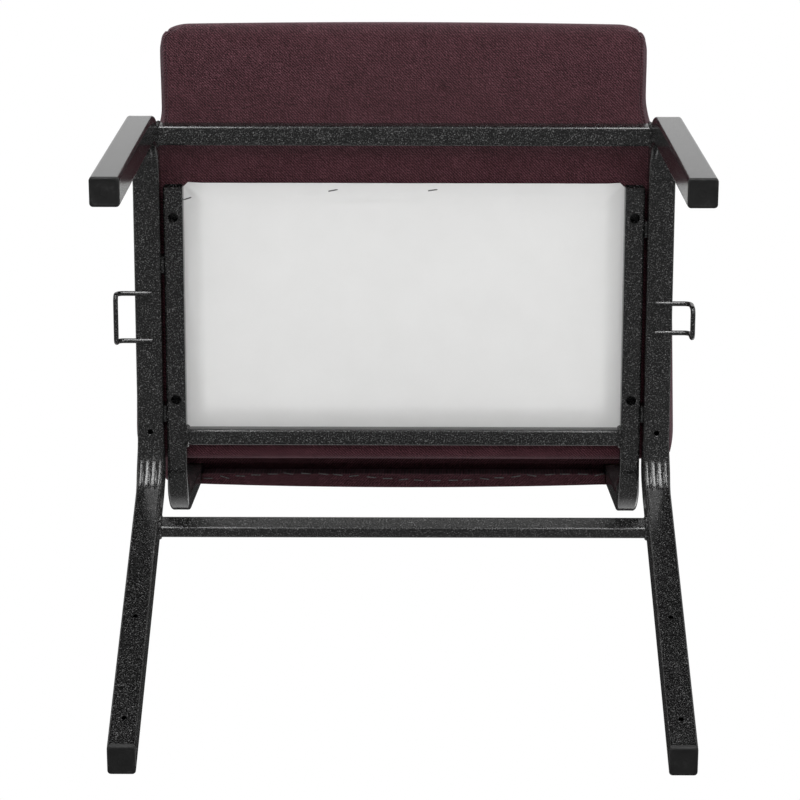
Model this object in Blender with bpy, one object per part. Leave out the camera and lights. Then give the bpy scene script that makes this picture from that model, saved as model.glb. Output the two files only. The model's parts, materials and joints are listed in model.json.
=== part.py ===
# Stacking church chair: steel tube frame, upholstered seat and back.
# Metres, +Z up, the sitter faces -Y, origin on the floor under the middle of the chair's box.
from math import atan2, cos, pi, radians, sin, tan

import bmesh
import bpy
from mathutils import Matrix, Vector

# Leg frames: one bent square tube on each side, front leg, seat rail and rear leg
LEG_TUBE = 0.0254
LEG_WALL = 0.0015
LEG_BEND_RADIUS = 0.0635
FOOT_SPREAD = 0.5165
FRONT_LEG_LEAN = radians(4.3)
REAR_LEG_LEAN = radians(19.5)
RAIL_UNDERSIDE_HEIGHT = 0.392
SEAT_SLOPE = radians(4.1)
ACCESSORY_HOLE_DIAMETER = 0.006
RAIL_HOLE_PLACE = 0.338
LEG_HOLE_HEIGHTS = {"upper": 0.168, "lower": 0.040}

# Back frames: a smaller tube inside each leg frame, seat support and back upright
RAIL_TUBE = 0.01905
RAIL_WALL = 0.0012
RAIL_GAP = 0.003
RAIL_FRONT_END = 0.0957
UPRIGHT_BEND_RADIUS = 0.0508
UPRIGHT_CORNER_PLACE = 0.4195
UPRIGHT_LEAN = radians(10.0)
TUBE_CORNER_RADIUS = 0.0026

# Cross members
FRONT_BAR_TUBE = 0.01905
FRONT_BAR_PLACE = 0.0395
FRONT_BAR_BELOW_RAIL = 0.0085
REAR_BAR_TUBE = 0.0159
REAR_BAR_INSET = 0.0281
STRETCHER_TALL = 0.01905
STRETCHER_DEEP = 0.0127
STRETCHER_HEIGHT = 0.302
BACK_BAR_TUBE = 0.0159
BAR_WALL = 0.0012

# Spacers welded between each leg frame's rail and its seat support
SPACER_LENGTH = 0.016
SPACER_TALL = 0.018
FRONT_SPACER_INSETS = {"left": 0.0765, "right": 0.0405}
REAR_SPACER_INSET = 0.0244

# Foot caps
CAP_THICKNESS = 0.004
CAP_PLUG_LENGTH = 0.016
CAP_PLUG_CLEARANCE = 0.0003
CAP_EDGE = 0.0012

# Ganging wires: a wide loop on the left, a narrow hook that drops into a neighbour's loop on the right
GANG_WIRE = 0.00476
GANG_REACH = 0.0195
GANG_BEND_RADIUS = 0.006
GANG_ARM_UNDER_RAIL = 0.017
GANG_MIDDLE_PLACE = 0.2218
GANG_LOOP_WIDTH = 0.0470
GANG_LOOP_DROP = 0.013
GANG_HOOK_WIDTH = 0.0290
GANG_HOOK_DROP = 0.026

# Seat: its rear width sets the frame's width
SEAT_DEPTH = 0.4323
SEAT_UPRIGHT_GAP = 0.0460
SEAT_FRONT_WIDTH = 0.471
SEAT_REAR_WIDTH = 0.5355
SEAT_SIDE_OVERHANG = 0.00675
SEAT_FLARE_LENGTH = 0.105
SEAT_FLARE_CLEARANCE = 0.003
SEAT_FRONT_CORNER = 0.022
SEAT_REAR_CORNER = 0.036
SEAT_EDGE_HEIGHT = 0.055
SEAT_CROWN = 0.018
SEAT_TOP_ROUND = 0.022
SEAT_NOSE_ROUND = 0.046
SEAT_BOTTOM_ROUND = 0.007
SEAT_SIDE_DRAW_IN = 0.004
SEAT_BOARD_THICKNESS = 0.012
SEAT_BOARD_INSET = 0.012
COVER_THICKNESS = 0.0012
FLAP_OPENING_MARGIN = 0.002
DUST_COVER_THICKNESS = 0.0008
DUST_COVER_WIDTH = 0.433
DUST_COVER_FRONT_REACH = 0.0019
DUST_COVER_CORNER_CUT = 0.007
FRONT_SCREW_INSET = 0.0297
REAR_SCREW_INSET = 0.0388

# Back
BACK_BOTTOM_HEIGHT = 0.573
BACK_HEIGHT = 0.325
BACK_SIDE_OVERHANG = 0.0204
BACK_TOP_CORNER = 0.045
BACK_BOTTOM_CORNER = 0.030
BACK_EDGE_DEPTH = 0.040
BACK_FRONT_CROWN = 0.018
BACK_REAR_CROWN = 0.004
BACK_EDGE_ROUND = 0.014
BACK_SIDE_DRAW_IN = 0.003
BACK_BOARD_THICKNESS = 0.009
BACK_BOARD_INSET = 0.014
BACK_MOUTH_MARGIN = 0.006
UPRIGHT_TOP_CLEARANCE = 0.030
BACK_BAR_DROP = 0.055
TACKING_STRIP_TALL = 0.020
TACKING_STRIP_DEEP = 0.009
BACK_SCREW_PLACES = {"lower": 0.070, "upper": 0.190}

# Screws and tee nuts
SCREW_DIAMETER = 0.006
SCREW_HEAD_DIAMETER = 0.0085
SCREW_HEAD_THICKNESS = 0.0032
SCREW_CLEARANCE = 0.0006
HEX_SOCKET = 0.0035
HEX_SOCKET_DEPTH = 0.0018
ACCESS_HOLE_DIAMETER = 0.0098
TEE_NUT_BARREL = 0.0090
TEE_NUT_FLANGE = 0.0180
TEE_NUT_FLANGE_THICKNESS = 0.0012

# Fits
TOUCH = 0.0003
CUT_PAST = 0.004
CORNER_STEPS = 2
BEND_STEPS = 8
WIRE_SIDES = 8
ROUND_SIDES = 16
CROWN_SHARES = (0.25, 0.55, 0.85)
CROWN_LEVEL = 0.94
ARC_STEPS = 3
EDGE_STEPS = 3
SEAT_SIDE_STEPS = 9
BACK_SIDE_STEPS = 4
COVER_ROWS = 3
LINING_ROWS = 2
SHARP_ANGLE = radians(35)

# Finishes: colour, roughness, metallic
FINISHES = {
    "frame_paint": ((0.018, 0.018, 0.019, 1), 0.42, 0.35),
    "cap_plastic": ((0.012, 0.012, 0.012, 1), 0.62, 0.0),
    "seat_fabric": ((0.062, 0.021, 0.030, 1), 0.92, 0.0),
    "dust_sheet": ((0.78, 0.78, 0.77, 1), 0.70, 0.0),
    "plywood": ((0.50, 0.34, 0.19, 1), 0.75, 0.0),
    "foam": ((0.72, 0.66, 0.42, 1), 0.95, 0.0),
    "zinc_steel": ((0.52, 0.52, 0.53, 1), 0.38, 1.0),
    "black_zinc": ((0.05, 0.05, 0.052, 1), 0.45, 1.0),
}

# Places and widths that follow from these sizes; places are measured along the rails from over the front feet
SIDES = {"left": -1, "right": 1}
FRAME_WIDTH = SEAT_REAR_WIDTH - 2 * SEAT_SIDE_OVERHANG
HALF = FRAME_WIDTH / 2
LEG_X = HALF - LEG_TUBE / 2
RAIL_X = HALF - LEG_TUBE - RAIL_GAP - RAIL_TUBE / 2
RAIL_TOP_HEIGHT = RAIL_UNDERSIDE_HEIGHT + LEG_TUBE / cos(SEAT_SLOPE)
SEAT_REAR_PLACE = UPRIGHT_CORNER_PLACE - SEAT_UPRIGHT_GAP
SEAT_NOSE_PLACE = SEAT_REAR_PLACE - SEAT_DEPTH
REAR_BAR_PLACE = SEAT_REAR_PLACE - REAR_BAR_INSET
SCREW_PLACES = {"front": RAIL_FRONT_END + FRONT_SCREW_INSET, "rear": REAR_BAR_PLACE - REAR_SCREW_INSET}
DUST_COVER_FRONT = RAIL_FRONT_END - DUST_COVER_FRONT_REACH
BACK_WIDTH = 2 * (RAIL_X + RAIL_TUBE / 2 + BACK_SIDE_OVERHANG)


def clear_scene():
    for old in list(bpy.data.objects):
        bpy.data.objects.remove(old, do_unlink=True)


def make_materials():
    made = {}
    for name, (colour, roughness, metallic) in FINISHES.items():
        material = bpy.data.materials.new(name)
        material.use_nodes = True
        shader = material.node_tree.nodes["Principled BSDF"]
        shader.inputs["Base Color"].default_value = colour
        shader.inputs["Roughness"].default_value = roughness
        shader.inputs["Metallic"].default_value = metallic
        made[name] = material
    return made


def make_empty(name, parent=None, location=(0, 0, 0), turn_x=0.0):
    empty = bpy.data.objects.new(name, None)
    empty.parent = parent
    empty.location = location
    empty.rotation_euler = (turn_x, 0, 0)
    bpy.context.collection.objects.link(empty)
    return empty


def make_object(name, mesh, finish, parent):
    made = bpy.data.objects.new(name, mesh)
    made.parent = parent
    bpy.context.collection.objects.link(made)
    mesh.materials.append(materials[finish])
    mesh.shade_smooth()
    mesh.set_sharp_from_angle(angle=SHARP_ANGLE)
    return made


def loft(name, rings, closed=False, split=False):
    """A mesh through rings of equal count. Closed joins the last ring to the first, else the ends are capped.
    Split makes triangles, so that curved skins of one outline stay parallel."""
    build = bmesh.new()
    loops = [[build.verts.new(point) for point in ring] for ring in rings]
    pairs = list(zip(loops, loops[1:] + loops[:1])) if closed else list(zip(loops, loops[1:]))
    for low, high in pairs:
        count = len(low)
        for i in range(count):
            j = (i + 1) % count
            if split:
                build.faces.new((low[i], low[j], high[j]))
                build.faces.new((low[i], high[j], high[i]))
            else:
                build.faces.new((low[i], low[j], high[j], high[i]))
    if not closed:
        build.faces.new(loops[0][::-1])
        build.faces.new(loops[-1])
    bmesh.ops.recalc_face_normals(build, faces=build.faces)
    mesh = bpy.data.meshes.new(name)
    build.to_mesh(mesh)
    build.free()
    return mesh


def cutter(name, mesh, parent):
    made = bpy.data.objects.new(name, mesh)
    made.parent = parent
    bpy.context.collection.objects.link(made)
    made.hide_render = True
    made.display_type = "WIRE"
    return made


def cut(target, tool):
    boolean = target.modifiers.new("cut " + tool.name, "BOOLEAN")
    boolean.operation = "DIFFERENCE"
    boolean.solver = "EXACT"
    boolean.object = tool


def rounded_rectangle(wide, tall, radius, steps=CORNER_STEPS):
    """Points round a rectangle with round corners, anticlockwise from the right side."""
    points = []
    for quarter in range(4):
        middle_x = (wide / 2 - radius) * (1 if quarter in (0, 3) else -1)
        middle_y = (tall / 2 - radius) * (1 if quarter in (0, 1) else -1)
        for step in range(steps + 1):
            angle = (quarter + step / steps) * pi / 2
            points.append((middle_x + radius * cos(angle), middle_y + radius * sin(angle)))
    return points


def bent_path(corners, radius, steps=BEND_STEPS):
    """A path in one plane through corners, each rounded to the radius, as (point, direction) pairs."""
    path = []
    for before, corner, after in zip(corners, corners[1:], corners[2:]):
        arriving = (corner - before).normalized()
        leaving = (after - corner).normalized()
        turn = arriving.angle(leaving)
        reach = radius * tan(turn / 2)
        start = corner - arriving * reach
        normal = (leaving - arriving * arriving.dot(leaving)).normalized()
        for step in range(steps + 1):
            angle = turn * step / steps
            point = start + arriving * (radius * sin(angle)) + normal * (radius * (1 - cos(angle)))
            path.append((point, arriving * cos(angle) + normal * sin(angle)))
    first = (corners[1] - corners[0]).normalized()
    last = (corners[-1] - corners[-2]).normalized()
    return [(corners[0], first)] + path + [(corners[-1], last)]


def station_ring(point, direction, across, profile, cut_height=None):
    """The profile set square to the direction, or slid along it to a level cut."""
    upward = across.cross(direction).normalized()
    ring = []
    for along_across, along_up in profile:
        place = point + across * along_across + upward * along_up
        if cut_height is not None:
            place = place + direction * ((cut_height - place.z) / direction.z)
        ring.append(place)
    return ring


def tube_mesh(name, path, wide, tall, wall, corner=TUBE_CORNER_RADIUS, cut_heights=(None, None)):
    """A hollow tube with open ends, its section carried along the path."""
    across = Vector((1, 0, 0))
    outer = rounded_rectangle(wide, tall, corner)
    inner = rounded_rectangle(wide - 2 * wall, tall - 2 * wall, max(corner - wall, wall / 2))
    levels = [cut_heights[0]] + [None] * (len(path) - 2) + [cut_heights[1]]
    outside = [station_ring(p, d, across, outer, level) for (p, d), level in zip(path, levels)]
    inside = [station_ring(p, d, across, inner, level) for (p, d), level in zip(path, levels)]
    return loft(name, outside + inside[::-1], closed=True)


def crossways_tube(name, length, deep, tall, wall):
    """A straight tube along X, open at both ends, centred on its middle."""
    outer = rounded_rectangle(deep, tall, TUBE_CORNER_RADIUS)
    inner = rounded_rectangle(deep - 2 * wall, tall - 2 * wall, max(TUBE_CORNER_RADIUS - wall, wall / 2))
    ends = (-length / 2, length / 2)
    outside = [[Vector((x, a, b)) for a, b in outer] for x in ends]
    inside = [[Vector((x, a, b)) for a, b in inner] for x in ends]
    return loft(name, outside + inside[::-1], closed=True)


def turned(name, profile, sides=ROUND_SIDES):
    """A solid turned round Z from (radius, height) points, with flat ends."""
    rings = []
    for radius, height in profile:
        angles = [2 * pi * i / sides for i in range(sides)]
        rings.append([Vector((radius * cos(a), radius * sin(a), height)) for a in angles])
    return loft(name, rings)


def plate(name, outline, low, high):
    """A flat plate between two levels from (x, y) points."""
    return loft(name, [[Vector((x, y, level)) for x, y in outline] for level in (low, high)])


def block(name, size, middle):
    wide, deep, tall = size
    outline = [(-wide / 2, -deep / 2), (wide / 2, -deep / 2), (wide / 2, deep / 2), (-wide / 2, deep / 2)]
    mesh = plate(name, outline, -tall / 2, tall / 2)
    mesh.transform(Matrix.Translation(middle))
    return mesh


def hole_cutter(name, diameter, low, high, parent, middle, turn=None):
    mesh = turned(name, [(diameter / 2, low), (diameter / 2, high)])
    mesh.transform(Matrix.Translation(middle) @ (turn or Matrix.Identity(4)))
    return cutter(name, mesh, parent)


# Seat plane: local X across, Y along the rails to the rear, Z square to the rails, zero on the rails' tops
def seat_to_world(place, height):
    along = Vector((0, cos(SEAT_SLOPE), -sin(SEAT_SLOPE)))
    upward = Vector((0, sin(SEAT_SLOPE), cos(SEAT_SLOPE)))
    return Vector((0, 0, RAIL_TOP_HEIGHT)) + along * place + upward * height


def crossing(point_a, direction_a, point_b, direction_b):
    """Where two lines in the side view meet."""
    denominator = direction_a.y * direction_b.z - direction_a.z * direction_b.y
    offset = point_b - point_a
    distance = (offset.y * direction_b.z - offset.z * direction_b.y) / denominator
    return point_a + direction_a * distance


def side_lines():
    rail = Vector((0, cos(SEAT_SLOPE), -sin(SEAT_SLOPE)))
    front = Vector((0, sin(FRONT_LEG_LEAN), cos(FRONT_LEG_LEAN)))
    rear = Vector((0, -sin(REAR_LEG_LEAN), cos(REAR_LEG_LEAN)))
    upright = Vector((0, sin(UPRIGHT_LEAN), cos(UPRIGHT_LEAN)))
    return rail, front, rear, upright


def leg_frame_path(x):
    rail, front, rear, _ = side_lines()
    front_foot = Vector((0, 0, 0))
    rear_foot = Vector((0, FOOT_SPREAD, 0))
    rail_point = seat_to_world(0, -LEG_TUBE / 2)
    front_corner = crossing(front_foot, front, rail_point, rail)
    rear_corner = crossing(rear_foot, rear, rail_point, rail)
    corners = [front_foot, front_corner, rear_corner, rear_foot]
    return bent_path([Vector((x, c.y, c.z)) for c in corners], LEG_BEND_RADIUS)


def upright_corner():
    return seat_to_world(UPRIGHT_CORNER_PLACE, -RAIL_TUBE / 2)


def back_bottom_place():
    """How far up the upright from its corner the back's lower edge lies."""
    return (BACK_BOTTOM_HEIGHT - upright_corner().z) / cos(UPRIGHT_LEAN)


def back_frame_path(x):
    upright = side_lines()[3]
    start = seat_to_world(RAIL_FRONT_END, -RAIL_TUBE / 2)
    corner = upright_corner()
    top = corner + upright * (back_bottom_place() + BACK_HEIGHT - UPRIGHT_TOP_CLEARANCE)
    return bent_path([Vector((x, c.y, c.z)) for c in (start, corner, top)], UPRIGHT_BEND_RADIUS)


def make_leg_frames():
    path_cut = CAP_THICKNESS + TOUCH
    half_hole = LEG_TUBE / 2
    rear = side_lines()[2]
    for side, sign in SIDES.items():
        x = sign * LEG_X
        mesh = tube_mesh("leg_frame_" + side, leg_frame_path(x), LEG_TUBE, LEG_TUBE, LEG_WALL,
                         cut_heights=(path_cut, path_cut))
        frame = make_object("leg_frame_" + side, mesh, "frame_paint", root)
        hole = hole_cutter("rail_hole_" + side, ACCESSORY_HOLE_DIAMETER, -LEG_TUBE - CUT_PAST, -half_hole,
                           seat_plane, (x, RAIL_HOLE_PLACE, 0))
        cut(frame, hole)
        turn = Matrix.Rotation(pi / 2 + REAR_LEG_LEAN, 4, "X")
        for end, height in LEG_HOLE_HEIGHTS.items():
            middle = Vector((x, FOOT_SPREAD, 0)) + rear * (height / rear.z)
            hole = hole_cutter(f"leg_hole_{end}_{side}", ACCESSORY_HOLE_DIAMETER, 0, half_hole + CUT_PAST,
                               root, middle, turn)
            cut(frame, hole)


def make_back_frames():
    for side, sign in SIDES.items():
        x = sign * RAIL_X
        mesh = tube_mesh("back_frame_" + side, back_frame_path(x), RAIL_TUBE, RAIL_TUBE, RAIL_WALL)
        frame = make_object("back_frame_" + side, mesh, "frame_paint", root)
        half = RAIL_TUBE / 2
        for end, place in SCREW_PLACES.items():
            access = hole_cutter(f"seat_access_{side}_{end}", ACCESS_HOLE_DIAMETER, -RAIL_TUBE - CUT_PAST,
                                 -half, seat_plane, (x, place, 0))
            shank = hole_cutter(f"seat_shank_{side}_{end}", SCREW_DIAMETER + SCREW_CLEARANCE, -half,
                                CUT_PAST, seat_plane, (x, place, 0))
            cut(frame, access)
            cut(frame, shank)
        forward = Matrix.Rotation(pi / 2, 4, "X")
        for end, place in BACK_SCREW_PLACES.items():
            access = hole_cutter(f"back_access_{side}_{end}", ACCESS_HOLE_DIAMETER, -half - CUT_PAST, 0,
                                 back_plane, (x, 0, place), forward)
            shank = hole_cutter(f"back_shank_{side}_{end}", SCREW_DIAMETER + SCREW_CLEARANCE, 0,
                                half + CUT_PAST, back_plane, (x, 0, place), forward)
            cut(frame, access)
            cut(frame, shank)


def make_cross_members():
    leg_gap = FRAME_WIDTH - 2 * LEG_TUBE - 2 * TOUCH
    rail_gap = 2 * (RAIL_X - RAIL_TUBE / 2) - 2 * TOUCH
    front_bar = crossways_tube("front_crossbar", leg_gap, FRONT_BAR_TUBE, FRONT_BAR_TUBE, BAR_WALL)
    front_bar = make_object("front_crossbar", front_bar, "frame_paint", root)
    front_bar.location = (0, FRONT_BAR_PLACE, RAIL_UNDERSIDE_HEIGHT - FRONT_BAR_BELOW_RAIL)
    rear_bar = crossways_tube("seat_rear_crossbar", rail_gap, REAR_BAR_TUBE, REAR_BAR_TUBE, BAR_WALL)
    rear_bar = make_object("seat_rear_crossbar", rear_bar, "frame_paint", seat_plane)
    rear_bar.location = (0, REAR_BAR_PLACE, -RAIL_TUBE / 2)
    stretcher = crossways_tube("rear_leg_stretcher", leg_gap, STRETCHER_DEEP, STRETCHER_TALL, BAR_WALL)
    stretcher = make_object("rear_leg_stretcher", stretcher, "frame_paint", root)
    rear = side_lines()[2]
    stretcher.location = Vector((0, FOOT_SPREAD, 0)) + rear * (STRETCHER_HEIGHT / rear.z)
    stretcher.rotation_euler = (REAR_LEG_LEAN, 0, 0)
    back_bar = crossways_tube("back_top_crossbar", rail_gap, BACK_BAR_TUBE, BACK_BAR_TUBE, BAR_WALL)
    back_bar = make_object("back_top_crossbar", back_bar, "frame_paint", back_plane)
    back_bar.location = (0, 0, BACK_HEIGHT - BACK_BAR_DROP)


def make_spacers():
    size = (RAIL_GAP - 2 * TOUCH, SPACER_LENGTH, SPACER_TALL)
    for side, sign in SIDES.items():
        front, rear = RAIL_FRONT_END + FRONT_SPACER_INSETS[side], REAR_BAR_PLACE - REAR_SPACER_INSET
        for end, place in {"front": front, "rear": rear}.items():
            name = f"rail_spacer_{end}_{side}"
            middle = (sign * (HALF - LEG_TUBE - RAIL_GAP / 2), place, -RAIL_TUBE / 2)
            make_object(name, block(name, size, middle), "frame_paint", seat_plane)


def make_foot_caps():
    """Each cap's flange covers the tube's end and its plug stands inside the tube."""
    across = Vector((1, 0, 0))
    bore = LEG_TUBE - 2 * LEG_WALL - 2 * CAP_PLUG_CLEARANCE
    _, front, rear, _ = side_lines()
    feet = {"front": (0.0, front), "rear": (FOOT_SPREAD, rear)}
    for side, sign in SIDES.items():
        for end, (place, upward) in feet.items():
            foot = Vector((sign * LEG_X, place, 0))
            full = rounded_rectangle(LEG_TUBE, LEG_TUBE, TUBE_CORNER_RADIUS)
            eased = rounded_rectangle(LEG_TUBE - 2 * CAP_EDGE, LEG_TUBE - 2 * CAP_EDGE, TUBE_CORNER_RADIUS)
            plug = rounded_rectangle(bore, bore, max(TUBE_CORNER_RADIUS - LEG_WALL, LEG_WALL / 2))
            levels = [(eased, 0), (full, CAP_EDGE), (full, CAP_THICKNESS), (plug, CAP_THICKNESS),
                      (plug, CAP_THICKNESS + CAP_PLUG_LENGTH)]
            rings = [station_ring(foot, upward, across, profile, level) for profile, level in levels]
            name = f"foot_cap_{end}_{side}"
            make_object(name, loft(name, rings), "cap_plastic", root)


def make_gang_wire(name, sign, width, drop):
    """A round wire from under the rail, out to the side, down and along, and back."""
    level = -LEG_TUBE - TOUCH - GANG_WIRE / 2
    inner_x = sign * (HALF - GANG_ARM_UNDER_RAIL)
    outer_x = sign * (HALF + GANG_REACH - GANG_WIRE / 2)
    front = GANG_MIDDLE_PLACE - width / 2
    rear = GANG_MIDDLE_PLACE + width / 2
    corners = [Vector((inner_x, front, level)), Vector((outer_x, front, level)),
               Vector((outer_x, front, level - drop)), Vector((outer_x, rear, level - drop)),
               Vector((outer_x, rear, level)), Vector((inner_x, rear, level))]
    path = bent_path(corners, GANG_BEND_RADIUS, BEND_STEPS // 2)
    section = [(GANG_WIRE / 2 * cos(2 * pi * i / WIRE_SIDES), GANG_WIRE / 2 * sin(2 * pi * i / WIRE_SIDES))
               for i in range(WIRE_SIDES)]
    rings = []
    across = Vector((0, 1, 0))
    for point, direction in path:
        across = (across - direction * across.dot(direction)).normalized()
        rings.append(station_ring(point, direction, across, section))
    make_object(name, loft(name, rings), "frame_paint", seat_plane)


def seat_half_width(place):
    """Narrow between the front legs, then a smooth flare out over the rails, before the front screws."""
    flare_end = SCREW_PLACES["front"] - TEE_NUT_FLANGE / 2 - SEAT_FLARE_CLEARANCE
    share = min(max(1 - (flare_end - place) / SEAT_FLARE_LENGTH, 0), 1)
    ease = share * share * (3 - 2 * share)
    return (SEAT_FRONT_WIDTH + (SEAT_REAR_WIDTH - SEAT_FRONT_WIDTH) * ease) / 2


def seat_outline():
    """The seat's outline from above, as (x, y), from the front middle round by the right."""
    nose, rear = SEAT_NOSE_PLACE, SEAT_REAR_PLACE
    half_front = SEAT_FRONT_WIDTH / 2
    half_rear = SEAT_REAR_WIDTH / 2
    right = [((half_front - SEAT_FRONT_CORNER) * i / EDGE_STEPS, nose) for i in range(EDGE_STEPS)]
    for i in range(ARC_STEPS + 1):
        angle = pi / 2 * i / ARC_STEPS
        right.append((half_front - SEAT_FRONT_CORNER * (1 - sin(angle)),
                      nose + SEAT_FRONT_CORNER * (1 - cos(angle))))
    straight = rear - SEAT_REAR_CORNER - nose - SEAT_FRONT_CORNER
    for i in range(1, SEAT_SIDE_STEPS):
        place = nose + SEAT_FRONT_CORNER + straight * i / SEAT_SIDE_STEPS
        right.append((seat_half_width(place), place))
    for i in range(ARC_STEPS + 1):
        angle = pi / 2 * i / ARC_STEPS
        right.append((half_rear - SEAT_REAR_CORNER * (1 - cos(angle)),
                      rear - SEAT_REAR_CORNER * (1 - sin(angle))))
    right += [((half_rear - SEAT_REAR_CORNER) * (1 - i / EDGE_STEPS), rear) for i in range(1, EDGE_STEPS)]
    left = [(-x, y) for x, y in right[:0:-1]]
    return right + [(0.0, rear)] + left


def inset_outline(outline, inset):
    """The outline moved inwards by the same amount all round."""
    count = len(outline)
    moved = []
    for i, (x, y) in enumerate(outline):
        before, after = outline[i - 1], outline[(i + 1) % count]
        angle = atan2(after[1] - before[1], after[0] - before[0])
        moved.append((x - inset * sin(angle), y + inset * cos(angle)))
    return moved


def shrunk(outline, share, middle):
    """The outline drawn towards a middle point by a share of its distance."""
    return [(x + (middle[0] - x) * share, y + (middle[1] - y) * share) for x, y in outline]


def crowned(flat, edge, crown):
    """(x, y, rise) on a cushion that swells from nothing at its edge to a level crown in its middle."""
    low_y, high_y = min(y for _, y in edge), max(y for _, y in edge)
    half_x, half_y = max(x for x, _ in edge), (high_y - low_y) / 2
    middle_y = (low_y + high_y) / 2
    swollen = []
    for x, y in flat:
        swell = (1 - (x / half_x) ** 2) * (1 - ((y - middle_y) / half_y) ** 2)
        swollen.append((x, y, crown * min(swell / CROWN_LEVEL, 1)))
    return swollen


def drawn_seat_outline(side, front, rear):
    """The seat's outline drawn in by its own amount at the sides, the front and the rear."""
    narrow = 1 - side / (SEAT_REAR_WIDTH / 2)
    length = SEAT_REAR_PLACE - SEAT_NOSE_PLACE
    shorten = 1 - (front + rear) / length
    start = SEAT_NOSE_PLACE + front
    return [(x * narrow, start + (y - SEAT_NOSE_PLACE) * shorten) for x, y in seat_outline()]


def seat_nose_share(place):
    """One at the nose, nothing behind its rounding."""
    share = (place - SEAT_NOSE_PLACE) / (2 * SEAT_NOSE_ROUND)
    return 1 - min(max(share, 0), 1)


def seat_rings(offset, low, rows):
    """Rings of the seat's cushion from its lower edge, up the drawn-in side and over the crown."""
    middle = (0, (SEAT_NOSE_PLACE + SEAT_REAR_PLACE) / 2)
    edge_top = SEAT_EDGE_HEIGHT - offset
    rise = edge_top - SEAT_TOP_ROUND
    nose_fall = (SEAT_NOSE_ROUND - SEAT_TOP_ROUND) / 2

    def level(flat, height):
        return [Vector((x, y, height)) for x, y in flat]

    def even(inset):
        return drawn_seat_outline(inset, inset, inset)

    lower_edge = SEAT_SIDE_DRAW_IN + offset
    rings = [level(even(lower_edge + SEAT_BOTTOM_ROUND), low)]
    rings.append(level(even(lower_edge), low + SEAT_BOTTOM_ROUND))
    for i in range(rows + 1):
        angle = pi / 2 * i / rows
        drawn = 1 - cos(angle)
        flat = drawn_seat_outline(offset + SEAT_TOP_ROUND * drawn, offset + SEAT_NOSE_ROUND * drawn,
                                  offset + SEAT_TOP_ROUND * drawn)
        ring = []
        for x, y in flat:
            fall = nose_fall * seat_nose_share(y)
            ring.append(Vector((x, y, rise - fall + (SEAT_TOP_ROUND + fall) * sin(angle))))
        rings.append(ring)
    edge = [(point.x, point.y) for point in rings[-1]]
    for share in CROWN_SHARES:
        swell = crowned(shrunk(edge, share, middle), edge, SEAT_CROWN)
        rings.append([Vector((x, y, edge_top + rise)) for x, y, rise in swell])
    return rings


def make_seat():
    cover_low = TOUCH
    board_low = cover_low + COVER_THICKNESS + TOUCH
    foam_low = board_low + SEAT_BOARD_THICKNESS + TOUCH
    outer = loft("seat_cover", seat_rings(0, cover_low, COVER_ROWS), split=True)
    cover = make_object("seat_cover", outer, "seat_fabric", seat_plane)
    cavity_rings = seat_rings(COVER_THICKNESS, cover_low + COVER_THICKNESS, LINING_ROWS)
    cavity = loft("seat_cavity", cavity_rings, split=True)
    cut(cover, cutter("seat_cavity", cavity, seat_plane))
    front, rear = DUST_COVER_FRONT, REAR_BAR_PLACE
    margin = 2 * FLAP_OPENING_MARGIN
    size = (DUST_COVER_WIDTH + margin, rear - front + margin, 2 * CUT_PAST)
    opening = block("seat_flap_opening", size, (0, (front + rear) / 2, 0))
    cut(cover, cutter("seat_flap_opening", opening, seat_plane))

    inset = SEAT_BOARD_INSET + COVER_THICKNESS
    board_outline = drawn_seat_outline(inset, inset, inset)
    board = make_object("seat_board", plate("seat_board", board_outline, board_low,
                        board_low + SEAT_BOARD_THICKNESS), "plywood", seat_plane)

    foam_rings = seat_rings(COVER_THICKNESS + TOUCH, foam_low, LINING_ROWS)
    foam = make_object("seat_foam", loft("seat_foam", foam_rings, split=True), "foam", seat_plane)

    half = DUST_COVER_WIDTH / 2
    cut_off = DUST_COVER_CORNER_CUT
    sheet_outline = [(-half + cut_off, front), (half - cut_off, front), (half, front + cut_off), (half, rear),
                     (-half, rear), (-half, front + cut_off)]
    sheet_high = board_low - TOUCH
    sheet = plate("seat_dust_cover", sheet_outline, sheet_high - DUST_COVER_THICKNESS, sheet_high)
    sheet = make_object("seat_dust_cover", sheet, "dust_sheet", seat_plane)
    for side, sign in SIDES.items():
        for end, along in SCREW_PLACES.items():
            pierced = hole_cutter(f"seat_pierced_{end}_{side}", SCREW_DIAMETER + SCREW_CLEARANCE, -CUT_PAST,
                                  board_low, seat_plane, (sign * RAIL_X, along, 0))
            cut(cover, pierced)
            cut(sheet, pierced)
            spot = Matrix.Translation((sign * RAIL_X, along, 0))
            make_fastening("seat", f"{end}_{side}", spot, 0.0, board_low, SEAT_BOARD_THICKNESS, board, foam,
                           seat_plane)


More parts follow.
